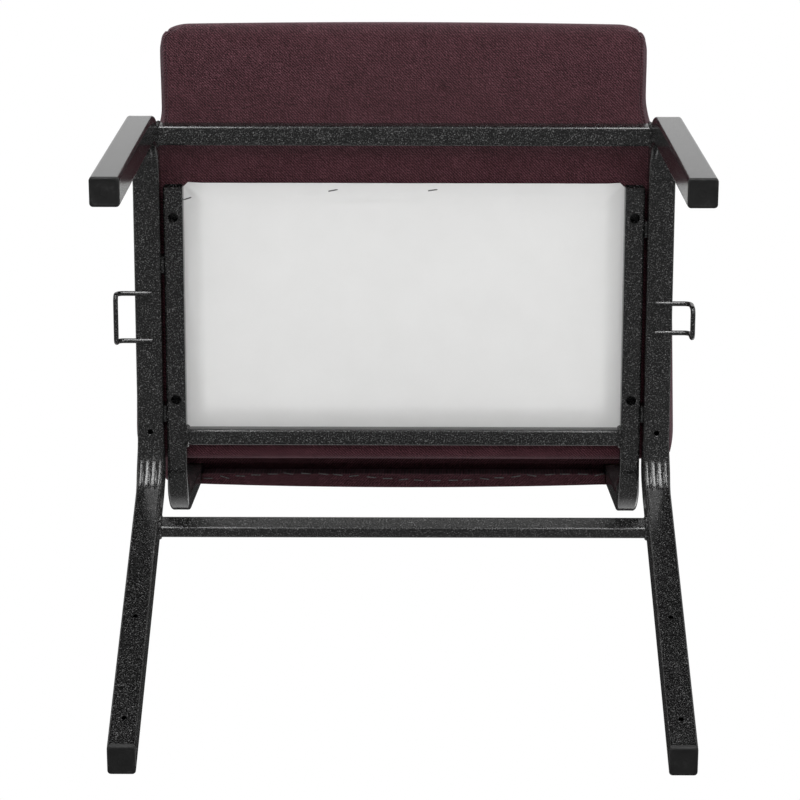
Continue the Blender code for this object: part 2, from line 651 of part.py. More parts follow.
def make_fastening(group, label, place, tube_face, board_low, thickness, board, foam, parent):
    """A screw from inside a tube, through its wall and the board, into a tee nut on the board's far side."""
    head_top = tube_face - RAIL_WALL - TOUCH
    nut_seat = board_low + thickness
    shank = SCREW_DIAMETER / 2
    head = SCREW_HEAD_DIAMETER / 2

    screw_name = f"{group}_screw_{label}"
    screw = turned(screw_name, [(head, head_top - SCREW_HEAD_THICKNESS), (head, head_top), (shank, head_top),
                                (shank, nut_seat)])
    screw.transform(place)
    socket = turned(screw_name + "_socket", [(HEX_SOCKET / 2, head_top - SCREW_HEAD_THICKNESS - CUT_PAST),
                    (HEX_SOCKET / 2, head_top - SCREW_HEAD_THICKNESS + HEX_SOCKET_DEPTH)], sides=6)
    socket.transform(place)
    cut(make_object(screw_name, screw, "black_zinc", parent), cutter(screw_name + "_socket", socket, parent))

    bore = shank + TOUCH
    barrel = TEE_NUT_BARREL / 2
    flange = TEE_NUT_FLANGE / 2
    nut_name = f"{group}_tee_nut_{label}"
    flange_low = nut_seat + TOUCH
    flange_high = flange_low + TEE_NUT_FLANGE_THICKNESS
    nut_low = board_low + TOUCH
    ring = [(bore, nut_low), (barrel, nut_low), (barrel, flange_low), (flange, flange_low),
            (flange, flange_high), (bore, flange_high)]
    angles = [2 * pi * i / ROUND_SIDES for i in range(ROUND_SIDES)]
    rings = [[Vector((radius * cos(a), radius * sin(a), height)) for a in angles] for radius, height in ring]
    nut = loft(nut_name, rings, closed=True)
    nut.transform(place)
    make_object(nut_name, nut, "zinc_steel", parent)

    between = nut_seat + TOUCH / 2
    drilled = turned(nut_name + "_seat", [(barrel + TOUCH, board_low - CUT_PAST), (barrel + TOUCH, between),
                     (flange + TOUCH, between), (flange + TOUCH, flange_high + TOUCH)])
    drilled.transform(place)
    pocket = cutter(nut_name + "_seat", drilled, parent)
    cut(board, pocket)
    cut(foam, pocket)


def back_outline():
    """The back's outline in its own plane, as (x, height), from the lower middle round by the right."""
    half = BACK_WIDTH / 2
    low, high = BACK_BOTTOM_CORNER, BACK_TOP_CORNER
    right = [((half - low) * i / EDGE_STEPS, 0.0) for i in range(EDGE_STEPS)]
    for i in range(ARC_STEPS + 1):
        angle = pi / 2 * i / ARC_STEPS
        right.append((half - low * (1 - sin(angle)), low * (1 - cos(angle))))
    for i in range(1, BACK_SIDE_STEPS):
        right.append((half, low + (BACK_HEIGHT - high - low) * i / BACK_SIDE_STEPS))
    for i in range(ARC_STEPS + 1):
        angle = pi / 2 * i / ARC_STEPS
        right.append((half - high * (1 - cos(angle)), BACK_HEIGHT - high * (1 - sin(angle))))
    right += [((half - high) * (1 - i / EDGE_STEPS), BACK_HEIGHT) for i in range(1, EDGE_STEPS)]
    left = [(-x, y) for x, y in right[:0:-1]]
    return right + [(0.0, BACK_HEIGHT)] + left


def back_ring(inset, forward):
    """The back's outline drawn in, at a depth in front of the uprights."""
    return [Vector((x, -forward, height)) for x, height in inset_outline(back_outline(), inset)]


def back_crown_rings(offset, level, crown):
    """Rings from the flat edge of one of the back's faces to its middle."""
    edge = inset_outline(back_outline(), offset + BACK_EDGE_ROUND)
    rings = []
    for share in CROWN_SHARES:
        swell = crowned(shrunk(edge, share, (0, BACK_HEIGHT / 2)), edge, crown)
        rings.append([Vector((x, -level - rise, height)) for x, height, rise in swell])
    return rings


def back_front_rings(offset, waist, front):
    """Rings of the back's cushion from its drawn-in waist, round its front edge and over its crown."""
    rings = [back_ring(offset + BACK_SIDE_DRAW_IN, waist)]
    for i in range(LINING_ROWS + 1):
        angle = pi / 2 * i / LINING_ROWS
        inset = offset + BACK_EDGE_ROUND * (1 - cos(angle))
        rings.append(back_ring(inset, front - BACK_EDGE_ROUND * (1 - sin(angle))))
    return rings + back_crown_rings(offset, front, BACK_FRONT_CROWN)


def back_rear_rings(offset, rear):
    """Rings of the back's rear face from its middle to its rounded edge."""
    rings = back_crown_rings(offset, rear, -BACK_REAR_CROWN)[::-1]
    for i in range(LINING_ROWS + 1):
        angle = pi / 2 * i / LINING_ROWS
        inset = offset + BACK_EDGE_ROUND * (1 - sin(angle))
        rings.append(back_ring(inset, rear + BACK_EDGE_ROUND * (1 - cos(angle))))
    return rings


def make_back():
    tube_half = RAIL_TUBE / 2
    board_low = tube_half + TOUCH
    foam_low = board_low + BACK_BOARD_THICKNESS + TOUCH
    rear = -tube_half - TOUCH - COVER_THICKNESS - TOUCH
    front = tube_half + BACK_EDGE_DEPTH
    outer_rings = back_rear_rings(0, rear) + back_front_rings(0, foam_low, front)
    cover = make_object("back_cover", loft("back_cover", outer_rings, split=True), "seat_fabric", back_plane)
    lining = COVER_THICKNESS
    cavity_rings = back_rear_rings(lining, rear + lining) + back_front_rings(lining, foam_low, front - lining)
    cut(cover, cutter("back_cavity", loft("back_cavity", cavity_rings, split=True), back_plane))
    mouth_half = RAIL_X + tube_half + BACK_MOUTH_MARGIN
    mouth_tall = BACK_EDGE_ROUND + BACK_MOUTH_MARGIN
    mouth = block("back_mouth", (2 * mouth_half, RAIL_TUBE + 2 * TOUCH, 2 * mouth_tall), (0, 0, 0))
    cut(cover, cutter("back_mouth", mouth, back_plane))

    inset = BACK_BOARD_INSET + COVER_THICKNESS
    board_faces = (board_low, board_low + BACK_BOARD_THICKNESS)
    board_mesh = loft("back_board", [back_ring(inset, forward) for forward in board_faces])
    board = make_object("back_board", board_mesh, "plywood", back_plane)
    foam_rings = back_front_rings(COVER_THICKNESS + TOUCH, foam_low, front - COVER_THICKNESS - TOUCH)
    foam = make_object("back_foam", loft("back_foam", foam_rings, split=True), "foam", back_plane)

    strip_wide = 2 * (RAIL_X - tube_half - TOUCH)
    strip_rear = tube_half - TOUCH
    strip_low = COVER_THICKNESS + TOUCH
    strip_middle = (0, strip_rear - TACKING_STRIP_DEEP / 2, strip_low + TACKING_STRIP_TALL / 2)
    strip = block("back_tacking_strip", (strip_wide, TACKING_STRIP_DEEP, TACKING_STRIP_TALL), strip_middle)
    make_object("back_tacking_strip", strip, "plywood", back_plane)
    forward = Matrix.Rotation(pi / 2, 4, "X")
    for side, sign in SIDES.items():
        for end, height in BACK_SCREW_PLACES.items():
            spot = Matrix.Translation((sign * RAIL_X, 0, height)) @ forward
            make_fastening("back", f"{end}_{side}", spot, tube_half, board_low, BACK_BOARD_THICKNESS, board,
                           foam, back_plane)


def centre_on_floor():
    """Sets the origin under the middle of the whole chair's box."""
    bpy.context.view_layer.update()
    graph = bpy.context.evaluated_depsgraph_get()
    places = []
    for part in bpy.data.objects:
        if part.type == "MESH" and not part.hide_render:
            shape = part.evaluated_get(graph)
            places += [(shape.matrix_world @ vertex.co).y for vertex in shape.data.vertices]
    root.location.y = -(min(places) + max(places)) / 2


clear_scene()
materials = make_materials()
root = make_empty("chair")
seat_plane = make_empty("seat_plane", root, (0, 0, RAIL_TOP_HEIGHT), -SEAT_SLOPE)
back_place = upright_corner() + side_lines()[3] * back_bottom_place()
back_plane = make_empty("back_plane", root, back_place, -UPRIGHT_LEAN)
make_leg_frames()
make_back_frames()
make_cross_members()
make_spacers()
make_foot_caps()
make_gang_wire("gang_loop_left", -1, GANG_LOOP_WIDTH, GANG_LOOP_DROP)
make_gang_wire("gang_hook_right", 1, GANG_HOOK_WIDTH, GANG_HOOK_DROP)
make_seat()
make_back()
centre_on_floor()
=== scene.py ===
import json

import bmesh
import bpy
import numpy as np
from mathutils import Matrix


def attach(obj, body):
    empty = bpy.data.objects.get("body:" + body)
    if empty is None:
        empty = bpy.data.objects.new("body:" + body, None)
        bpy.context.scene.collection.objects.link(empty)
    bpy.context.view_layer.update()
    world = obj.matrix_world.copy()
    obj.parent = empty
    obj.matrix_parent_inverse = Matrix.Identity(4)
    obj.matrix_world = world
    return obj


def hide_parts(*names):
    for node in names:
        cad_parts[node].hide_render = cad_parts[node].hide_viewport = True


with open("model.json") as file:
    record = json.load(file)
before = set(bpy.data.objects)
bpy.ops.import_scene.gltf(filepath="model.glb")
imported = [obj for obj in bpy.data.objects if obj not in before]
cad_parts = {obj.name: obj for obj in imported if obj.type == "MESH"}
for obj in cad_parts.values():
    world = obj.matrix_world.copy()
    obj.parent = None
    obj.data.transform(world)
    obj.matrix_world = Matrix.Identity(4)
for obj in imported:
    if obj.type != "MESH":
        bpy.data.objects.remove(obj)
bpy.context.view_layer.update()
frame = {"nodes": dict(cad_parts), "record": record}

feet = {mount["name"]: np.array(mount["pos_m"]) for mount in frame["record"]["mounts"]}
footFront, footRear = feet["foot_front_right"], feet["foot_rear_right"]
print("frame:", len(frame["nodes"]), "nodes")

# Main lines of the chair in metres and degrees, as the frame has them
chair = {"legTube": 0.0254, "legWall": 0.0015, "legBend": 0.0635, "railTube": 0.01905, "railWall": 0.0012,
         "railGap": 0.003, "tubeCorner": 0.0028, "boreCorner": 0.0008, "railEnd": 0.0957, "uprightBend": 0.0508,
         "uprightCorner": 0.4195, "frontLean": 4.3, "rearLean": 19.5, "seatSlope": 4.1, "uprightLean": 10.0,
         "railUnderside": 0.392, "backBottom": 0.573, "touch": 0.0003, "capThickness": 0.004}
legX = footFront[0]
railX = legX - chair["legTube"] / 2 - chair["railGap"] - chair["railTube"] / 2
xAxis = np.array([1.0, 0.0, 0.0])
bothSides = (("Left", -1), ("Right", 1))
tiny = 1e-6


def sideDirection(degrees):
    # a unit vector in the side view, turned from +Y towards +Z
    return np.array([0.0, np.cos(np.radians(degrees)), np.sin(np.radians(degrees))])


frontLeg, rearLeg = sideDirection(90 - chair["frontLean"]), sideDirection(90 + chair["rearLean"])
seatAlong = sideDirection(-chair["seatSlope"])
seatUp = sideDirection(90 - chair["seatSlope"])
railTop = chair["railUnderside"] + chair["legTube"] / np.cos(np.radians(chair["seatSlope"]))
seatOrigin = np.array([0.0, footFront[1], railTop])
backUp = sideDirection(90 - chair["uprightLean"])
backForward = sideDirection(180 - chair["uprightLean"])
uprightFoot = seatOrigin + chair["uprightCorner"] * seatAlong - chair["railTube"] / 2 * seatUp
backOrigin = uprightFoot + backUp * (chair["backBottom"] - uprightFoot[2]) / backUp[2]


def onSeat(x, s, h):
    # across by x, along the rails by s and square to them by h, from over the front feet
    x, s, h = np.broadcast_arrays(x, s, h)
    return seatOrigin + x[..., None] * xAxis + s[..., None] * seatAlong + h[..., None] * seatUp


def onBack(x, f, h):
    # across by x, forward by f and up the back by h, from between the uprights at the back's lower edge
    x, f, h = np.broadcast_arrays(x, f, h)
    return backOrigin + x[..., None] * xAxis + f[..., None] * backForward + h[..., None] * backUp


def smooth(t):
    # three t squared less two t cubed, with t held between 0 and 1
    t = np.clip(t, 0, 1)
    return t * t * (3 - 2 * t)


def bell(distance, width):
    # e to the minus (distance over width) squared
    return np.exp(-(distance / width) ** 2)


def unit(v):
    return v / np.linalg.norm(v, axis=-1, keepdims=True)


def carried(places, section, across, upward):
    # a flat section set at each place: place + a across + b upward
    return places + section[..., :1] * across + section[..., 1:] * upward


def gridFaces(rows, columns, wrapRows=False, wrapColumns=False):
    # each face joins a grid point, the next along, the next on both ways and the next across
    i, j = np.indices((rows - (not wrapRows), columns - (not wrapColumns))).reshape(2, -1)
    nextI, nextJ = (i + 1) % rows, (j + 1) % columns
    corners = [i * columns + j, nextI * columns + j, nextI * columns + nextJ, i * columns + nextJ]
    return np.stack(corners, axis=1)


def cornerValues(values):
    # the four corner values of each face, in the order that gridFaces joins them
    return np.stack([values[:-1, :-1], values[1:, :-1], values[1:, 1:], values[:-1, 1:]], axis=2)


def outwardTurn(points, faces):
    # the sign of the volume, which adds up corner dot (next cross opposite): where it is -1 the faces turn round
    a, b, c, d = (points[faces[:, k]] for k in range(4))
    return 1 if np.sum(a * (np.cross(b, c) + np.cross(c, d))) > 0 else -1


def makeMesh(name, points, faces, cornerUv=None):
    points = points.reshape(-1, 3)
    turned = slice(None, None, outwardTurn(points, faces))
    mesh = bpy.data.meshes.new(name)
    mesh.from_pydata(points.tolist(), [], faces[:, turned].tolist())
    if cornerUv is not None:
        layer = mesh.uv_layers.new(name="cloth")
        layer.data.foreach_set("uv", cornerUv.reshape(-1, 4, 2)[:, turned].astype(np.float32).ravel())
    build = bmesh.new()
    build.from_mesh(mesh)
    bmesh.ops.remove_doubles(build, verts=build.verts, dist=tiny)
    build.to_mesh(mesh)
    build.free()
    return mesh


def addObject(name, data):
    added = bpy.data.objects.new(name, data)
    bpy.context.scene.collection.objects.link(added)
    return added


def makePiece(name, mesh, slot, *replaced, sharp=35, material=None):
    piece = addObject(name, mesh)
    mesh.materials.clear()
    mesh.materials.append(material or finishes[slot])
    mesh.shade_smooth()
    mesh.set_sharp_from_angle(angle=np.radians(sharp))
    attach(piece, "root")
    if replaced:
        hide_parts(*replaced)
    return piece


# Materials

def newMaterial(name, **sockets):
    material = bpy.data.materials.new(name)
    material.use_nodes = True
    shader = material.node_tree.nodes["Principled BSDF"]
    for socket, value in sockets.items():
        shader.inputs[socket.replace("_", " ")].default_value = value
    return material, material.node_tree, shader


def addNode(tree, kind, inputs=None, **settings):
    # a node with its settings; each input is a plain value or a socket to link from
    node = tree.nodes.new(kind)
    for key, value in settings.items():
        setattr(node, key, value)
    for key, value in (inputs or {}).items():
        if isinstance(value, bpy.types.NodeSocket):
            tree.links.new(value, node.inputs[key])
        else:
            node.inputs[key].default_value = value
    return node


def calc(tree, operation, first, second=0.0, third=0.0):
    return addNode(tree, "ShaderNodeMath", {0: first, 1: second, 2: third}, operation=operation).outputs[0]


def total(tree, *terms):
    # each socket times its share, added up
    result = 0.0
    for socket, share in terms:
        result = calc(tree, "MULTIPLY_ADD", socket, share, result)
    return result


def noise(tree, vector, scale, detail=2.0, roughness=0.5):
    return addNode(tree, "ShaderNodeTexNoise", {"Vector": vector, "Scale": scale, "Detail": detail,
                                                "Roughness": roughness}).outputs["Fac"]


def ramp(tree, factor, stops):
    # a colour ramp through (place, colour) stops
    node = addNode(tree, "ShaderNodeValToRGB", {"Fac": factor})
    elements = node.color_ramp.elements
    while len(elements) < len(stops):
        elements.new(1.0)
    for element, (place, colour) in zip(elements, stops):
        element.position = place
        element.color = (*colour, 1.0)
    return node.outputs["Color"]


def grey(value):
    return (value, value, value)


def spread(tree, factor, low, high, toLow, toHigh):
    return addNode(tree, "ShaderNodeMapRange", {"Value": factor, "From Min": low, "From Max": high,
                                                "To Min": toLow, "To Max": toHigh}).outputs["Result"]


def bump(tree, shader, height, strength, distance):
    node = addNode(tree, "ShaderNodeBump", {"Height": height, "Strength": strength, "Distance": distance})
    tree.links.new(node.outputs["Normal"], shader.inputs["Normal"])


def objectPlace(tree):
    return addNode(tree, "ShaderNodeTexCoord").outputs["Object"]


def stretched(tree, place, scale):
    return addNode(tree, "ShaderNodeMapping", {"Vector": place, "Scale": scale}).outputs[0]


# glint is the brightest speck colour: the silver vein's own grey lightened with painted glints
veinPaint = {"speck": 780.0, "patch": 150.0, "patchShare": 0.10, "black": 0.002, "charcoal": 0.006,
             "vein": 0.038, "glint": 0.20, "roughness": (0.12, 0.20), "wrinkle": 0.00003}


def makeVeinPaint():
    # black paint with a fine silver vein: specks of noise, strongest where a slower noise is high, over a
    # fine wrinkle; the brightest specks are the vein's own colour lightened into painted glints
    material, tree, shader = newMaterial("veinPaint", Specular_IOR_Level=0.42)
    place = objectPlace(tree)
    speck = noise(tree, place, veinPaint["speck"], 3.0, 0.62)
    patch = calc(tree, "SUBTRACT", noise(tree, place, veinPaint["patch"]), 0.5)
    tone = calc(tree, "MULTIPLY_ADD", patch, veinPaint["patchShare"], speck)
    # the glint stop paints glints into the colour of the brightest vein specks
    colour = ramp(tree, tone, [(0.38, grey(veinPaint["black"])), (0.52, grey(veinPaint["charcoal"])),
                               (0.60, grey(veinPaint["vein"])), (0.73, grey(veinPaint["glint"]))])
    tree.links.new(colour, shader.inputs["Base Color"])
    tree.links.new(spread(tree, speck, 0.3, 0.7, *veinPaint["roughness"]), shader.inputs["Roughness"])
    bump(tree, shader, speck, 1.0, veinPaint["wrinkle"])
    return material


twill = {"pitch": 0.0021, "yarn": 0.00105, "wander": 300.0, "wanderShare": 1.6, "thread": (1000, 70),
         "fleck": 620.0, "cloud": 26.0, "shadow": (0.013, 0.0044, 0.0056), "wine": (0.038, 0.0114, 0.0150),
         "rose": (0.076, 0.0235, 0.032), "slub": (0.13, 0.055, 0.068), "tint": (0.55, 0.4, 0.45, 1.0),
         "relief": 0.0004}


def makeTwill():
    # diagonal ribs: the sine of (u - v) over the pitch, crossed by yarns along (u + v), with streaks of heather
    material, tree, shader = newMaterial("burgundyTwill", Roughness=0.9, Specular_IOR_Level=0.2,
                                         Sheen_Weight=0.25, Sheen_Roughness=0.5, Sheen_Tint=twill["tint"])
    place = addNode(tree, "ShaderNodeUVMap", uv_map="cloth").outputs["UV"]
    split = addNode(tree, "ShaderNodeSeparateXYZ", {"Vector": place})
    u, v = split.outputs["X"], split.outputs["Y"]
    turn = 2 * np.pi / np.sqrt(2)
    wander = noise(tree, place, twill["wander"])
    slant = total(tree, (wander, twill["wanderShare"] * twill["pitch"]), (u, 1), (v, -1))
    rib = calc(tree, "SINE", calc(tree, "MULTIPLY", slant, turn / twill["pitch"]))
    yarn = calc(tree, "SINE", calc(tree, "MULTIPLY", calc(tree, "ADD", u, v), turn / twill["yarn"]))
    height = total(tree, (rib, 0.6), (yarn, 0.4))
    fine, coarse = twill["thread"]
    warp = noise(tree, stretched(tree, place, (fine, coarse, 1)), 1.0)
    weft = noise(tree, stretched(tree, place, (coarse, fine, 1)), 1.0)
    fleck = noise(tree, place, twill["fleck"], 2.0, 0.7)
    cloud = noise(tree, place, twill["cloud"], 3.0)
    heather = total(tree, (warp, 1), (weft, 1), (fleck, 1.6), (cloud, 0.4))
    # the height in the tone lightens the crests and darkens the grooves: painted shade of the weave, over the
    # heather's own random tone; shadow is the darkest stop for both
    tone = total(tree, (height, 0.21), (heather, 0.32))
    colour = ramp(tree, tone, [(0.46, twill["shadow"]), (0.60, twill["wine"]), (0.72, twill["rose"]),
                               (0.86, twill["slub"])])
    tree.links.new(colour, shader.inputs["Base Color"])
    bump(tree, shader, height, 0.5, twill["relief"])
    return material


def makeGrained(name, grain, stops, roughness=None, relief=None, stretch=None, **sockets):
    # a noise of a scale and detail runs through the colours and between two roughnesses; relief is the scale
    # and detail of a bump's own noise, then its strength and distance
    material, tree, shader = newMaterial(name, **sockets)
    place = objectPlace(tree)
    if stretch:
        place = stretched(tree, place, stretch)
    tone = noise(tree, place, *grain)
    tree.links.new(ramp(tree, tone, stops), shader.inputs["Base Color"])
    if roughness:
        tree.links.new(spread(tree, tone, 0.3, 0.7, *roughness), shader.inputs["Roughness"])
    if relief:
        bump(tree, shader, noise(tree, place, *relief[:2]), *relief[2:])
    return material


def makeSteel(name, dark, light):
    # plated steel, brushed a little and spotted
    return makeGrained(name, (600.0, 3.0), [(0.35, grey(dark)), (0.65, grey(light))], (0.48, 0.3), Metallic=1.0)


capPlastic = {"grain": (90.0, 4.0), "stops": [(0.35, grey(0.012)), (0.60, grey(0.018)), (0.75, grey(0.035))],
              "roughness": (0.5, 0.68), "relief": (1600.0, 2.0, 0.2, 0.0002), "Specular_IOR_Level": 0.22}
dustCloth = {"grain": (30.0, 3.0), "stops": [(0.3, (0.768, 0.768, 0.762)), (0.7, (0.785, 0.785, 0.780))],
             "relief": (900.0, 3.0, 0.12, 0.0002), "Roughness": 0.62, "Specular_IOR_Level": 0.25}
rawPlywood = {"grain": (1.0, 4.0), "stretch": (12, 260, 260), "relief": (1.0, 4.0, 0.2, 0.0004),
              "stops": [(0.3, (0.36, 0.22, 0.11)), (0.55, (0.50, 0.34, 0.19)), (0.75, (0.60, 0.43, 0.26))],
              "Roughness": 0.75, "Specular_IOR_Level": 0.25}
padFoam = {"grain": (700.0, 2.0), "stops": [(0.35, (0.5, 0.44, 0.26)), (0.6, (0.72, 0.66, 0.42))],
           "relief": (700.0, 2.0, 0.5, 0.0006), "Roughness": 0.95}
finishes = {"frame_paint": makeVeinPaint(), "cap_plastic": makeGrained("capPlastic", **capPlastic),
            "seat_fabric": makeTwill(), "dust_sheet": makeGrained("dustCloth", **dustCloth),
            "plywood": makeGrained("rawPlywood", **rawPlywood), "foam": makeGrained("padFoam", **padFoam),
            "zinc_steel": makeSteel("zincSteel", 0.38, 0.55), "black_zinc": makeSteel("blackZinc", 0.02, 0.06)}
for part in frame["record"]["subparts"]:
    node = frame["nodes"][part["node"]]
    node.data.materials.clear()
    node.data.materials.append(finishes[part["material_slot"]])
print("materials:", len(finishes))


# Tube frame

def roundedSquare(wide, tall, corner, cornerSteps=6, sideSteps=30):
    # quarter circles at the corners, with even steps along the sides between them
    turn = np.linspace(0, np.pi / 2, cornerSteps + 1)
    arcs = []
    for quarter, (right, up) in enumerate(((1, 1), (-1, 1), (-1, -1), (1, -1))):
        middle = np.array([(wide / 2 - corner) * right, (tall / 2 - corner) * up])
        angle = turn + quarter * np.pi / 2
        arcs.append(middle + corner * np.stack([np.cos(angle), np.sin(angle)], axis=1))
    share = np.linspace(0, 1, sideSteps + 1)[1:-1, None]
    sides = [arc[-1] * (1 - share) + after[0] * share for arc, after in zip(arcs, arcs[1:] + arcs[:1])]
    return np.concatenate([piece for pair in zip(arcs, sides) for piece in pair])


def bentPath(corners, radius, bendSteps=30):
    # straight runs between arcs; a point on an arc is start + r sin(a) arriving + r (1 - cos(a)) inward, and
    # the bend's strength there is the sine of its share of the arc, sharpened a little
    corners = np.asarray(corners, float)
    places, headings, bends = [corners[:1]], [unit(corners[1:2] - corners[:1])], [np.zeros(1)]
    share = np.linspace(0, 1, bendSteps)[:, None]
    for before, corner, after in zip(corners, corners[1:], corners[2:]):
        arriving, leaving = unit(corner - before), unit(after - corner)
        turn = np.arccos(arriving @ leaving)
        start = corner - arriving * radius * np.tan(turn / 2)
        inward = unit(leaving - arriving * (arriving @ leaving))
        angle = turn * share
        places.append(start + radius * (np.sin(angle) * arriving + (1 - np.cos(angle)) * inward))
        headings.append(np.cos(angle) * arriving + np.sin(angle) * inward)
        bends.append(np.sin(np.pi * share[:, 0]) ** 1.3)
    places.append(corners[-1:])
    headings.append(unit(corners[-1:] - corners[-2:-1]))
    bends.append(np.zeros(1))
    return np.concatenate(places), np.concatenate(headings), np.concatenate(bends)


# the grooves between a bend's ridges, as shares of the tube's half width
grooves = {"place": 0.51, "width": 0.075, "middleDepth": 0.8, "middleWidth": 0.065}


def crushed(ring, bends, crush):
    # in a bend the outer wall sinks by 1 - a squared, the inner wall folds into ridges and the sides swell
    half = ring[:, 0].max()
    a, b = ring[None, :, 0] / half, ring[None, :, 1] / half * crush["outer"]
    weight = bends[:, None]
    sink = crush["sink"] * np.clip(b, 0, 1) ** 3 * (1 - a * a)
    folds = bell(np.abs(a) - grooves["place"], grooves["width"])
    folds = folds + grooves["middleDepth"] * bell(a, grooves["middleWidth"])
    fold = crush["fold"] * np.clip(-b, 0, 1) ** 3 * folds
    wide = ring[None, :, 0] * (1 + weight * crush["swell"] / half * (1 - b * b))
    tall = ring[None, :, 1] + weight * crush["outer"] * (fold - sink)
    return np.stack([wide, tall], axis=2)


def tubeRings(wide, tall, wall, sideSteps=30):
    # the outline of a tube and that of its bore
    corners = (chair["tubeCorner"], max(chair["tubeCorner"] - wall, chair["boreCorner"]))
    return [roundedSquare(wide - 2 * thin, tall - 2 * thin, corner, sideSteps=sideSteps)
            for thin, corner in zip((0, wall), corners)]


def tubeMesh(name, outer, inner):
    # the outer wall, and the inner one turned round, joined at both ends
    grid = np.concatenate([outer, inner[::-1]])
    return makeMesh(name, grid, gridFaces(*grid.shape[:2], wrapRows=True, wrapColumns=True))


def hollowTube(name, path, size, wall, crush, level=None):
    # both walls carried along the path and, where a level is given, cut off at it
    places, headings, bends = path
    upwards = np.cross(xAxis, headings)
    walls = []
    for ring in tubeRings(size, size, wall):
        grid = carried(places[:, None], crushed(ring, bends, crush), xAxis, upwards[:, None])
        for end in (0, -1) if level else ():
            grid[end] += headings[end] * ((level - grid[end, :, 2:]) / headings[end, 2])
        walls.append(grid)
    return tubeMesh(name, *walls)


def roundBar(name, places, headings, radius, steps=24):
    # a circle carried along the path, its frame turned as little as possible, drawn to a point at each end
    across = np.cross(headings[0], seatUp + 0.3 * xAxis)
    acrosses = []
    for heading in headings:
        across = unit(across - heading * (across @ heading))
        acrosses.append(across)
    acrosses = np.array(acrosses)
    upwards = np.cross(headings, acrosses)
    angle = np.linspace(0, 2 * np.pi, steps, endpoint=False)[None, :, None]
    radius = np.broadcast_to(radius, len(places))[:, None, None]
    grid = places[:, None] + radius * (np.cos(angle) * acrosses[:, None] + np.sin(angle) * upwards[:, None])
    closing = [np.repeat(places[end][None, None], steps, axis=1) for end in (0, -1)]
    grid = np.concatenate([closing[0], grid, closing[1]])
    return makeMesh(name, grid, gridFaces(*grid.shape[:2], wrapColumns=True))


def drilled(mesh, holes):
    # round cutters, wider at the mouth where the rim is sunk, taken from the mesh with Boolean modifiers
    body = addObject("drilling", mesh)
    tools = []
    for place, axis, radius, reach, sink in holes:
        along = np.array([-reach, -sink, sink, reach] if sink else [-reach, reach])
        radii = radius + np.array([2 * sink, 2 * sink, 0, 0] if sink else [0, 0])
        headings = np.repeat(axis[None], len(along), 0)
        tool = addObject("drill", roundBar("drill", place + along[:, None] * axis, headings, radii))
        cut = body.modifiers.new("hole", "BOOLEAN")
        cut.object = tool
        tools.append(tool)
    bpy.context.view_layer.update()
    result = bpy.data.meshes.new_from_object(body.evaluated_get(bpy.context.evaluated_depsgraph_get()))
    for spare in tools + [body]:
        bpy.data.objects.remove(spare)
    return result


legFrame = {"crush": {"outer": 1, "sink": 0.0009, "fold": 0.0006, "swell": 0.0014}, "hole": 0.0025,
            "railHole": 0.338, "legHoles": (0.168, 0.040), "sink": 0.0006}
backFrame = {"crush": {"outer": -1, "sink": 0.0008, "fold": 0.0006, "swell": 0.0016}, "access": 0.0049,
             "shank": 0.0033, "screws": (0.1254, 0.3066), "top": 0.295}


def crossing(pointA, directionA, pointB, directionB):
    # where two lines in the side view meet
    gap = pointB - pointA
    spanned = directionA[1] * directionB[2] - directionA[2] * directionB[1]
    return pointA + directionA * (gap[1] * directionB[2] - gap[2] * directionB[1]) / spanned


def makeLegFrame(side, sign):
    across = np.array([sign * legX, 0, 0])
    half = chair["legTube"] / 2
    front, rear = footFront * (0, 1, 1), footRear * (0, 1, 1)
    rail = seatOrigin - half * seatUp
    frontBend, rearBend = crossing(front, frontLeg, rail, seatAlong), crossing(rear, rearLeg, rail, seatAlong)
    path = bentPath(np.array([front, frontBend, rearBend, rear]) + across, chair["legBend"])
    mesh = hollowTube("legFrame", path, chair["legTube"], chair["legWall"], legFrame["crush"],
                      chair["capThickness"] + chair["touch"])
    ahead = sideDirection(180 + chair["rearLean"])
    spots = [(onSeat(sign * legX, legFrame["railHole"], -chair["legTube"]), seatUp)]
    for height in legFrame["legHoles"]:
        spots.append((rear + across + rearLeg * height / rearLeg[2] + ahead * half, -ahead))
    holes = [(place, axis, legFrame["hole"], half / 2, legFrame["sink"]) for place, axis in spots]
    return makePiece("legFrame" + side, drilled(mesh, holes), "frame_paint", "leg_frame_" + side.lower())


def makeBackFrame(side, sign):
    half = chair["railTube"] / 2
    top = backOrigin + backFrame["top"] * backUp
    corners = np.array([onSeat(0, chair["railEnd"], -half), uprightFoot, top])
    path = bentPath(corners + np.array([sign * railX, 0, 0]), chair["uprightBend"])
    mesh = hollowTube("backFrame", path, chair["railTube"], chair["railWall"], backFrame["crush"])
    holes = []
    for s in backFrame["screws"]:
        for level, radius in ((-2 * half, backFrame["access"]), (0, backFrame["shank"])):
            holes.append((onSeat(sign * railX, s, level), seatUp, radius, half / 2, 0))
    return makePiece("backFrame" + side, drilled(mesh, holes), "frame_paint", "back_frame_" + side.lower())


# a size is how deep and how tall the bar is
bars = {"wall": 0.0012, "frontSize": (0.01905, 0.01905), "frontPlace": 0.0395, "frontDrop": 0.0085,
        "rearSize": (0.0159, 0.0159), "rearPlace": 0.3454, "stretcherSize": (0.0127, 0.01905),
        "stretcherHeight": 0.302, "backSize": (0.0159, 0.0159), "backPlace": 0.270}
weld = {"size": 0.0021, "lump": 0.16, "pitch": 0.0042, "drift": 0.017, "wander": 2}


def barEnds(middle, length):
    return middle + np.array([-length / 2, length / 2])[:, None, None] * xAxis


def makeBar(name, node, middle, upward, length, deep, tall):
    # a rounded rectangle carried straight across
    behind = np.cross(upward, xAxis)
    walls = [carried(barEnds(middle, length), ring, behind, upward)
             for ring in tubeRings(deep, tall, bars["wall"], sideSteps=2)]
    return makePiece(name, tubeMesh(name, *walls), "frame_paint", node)


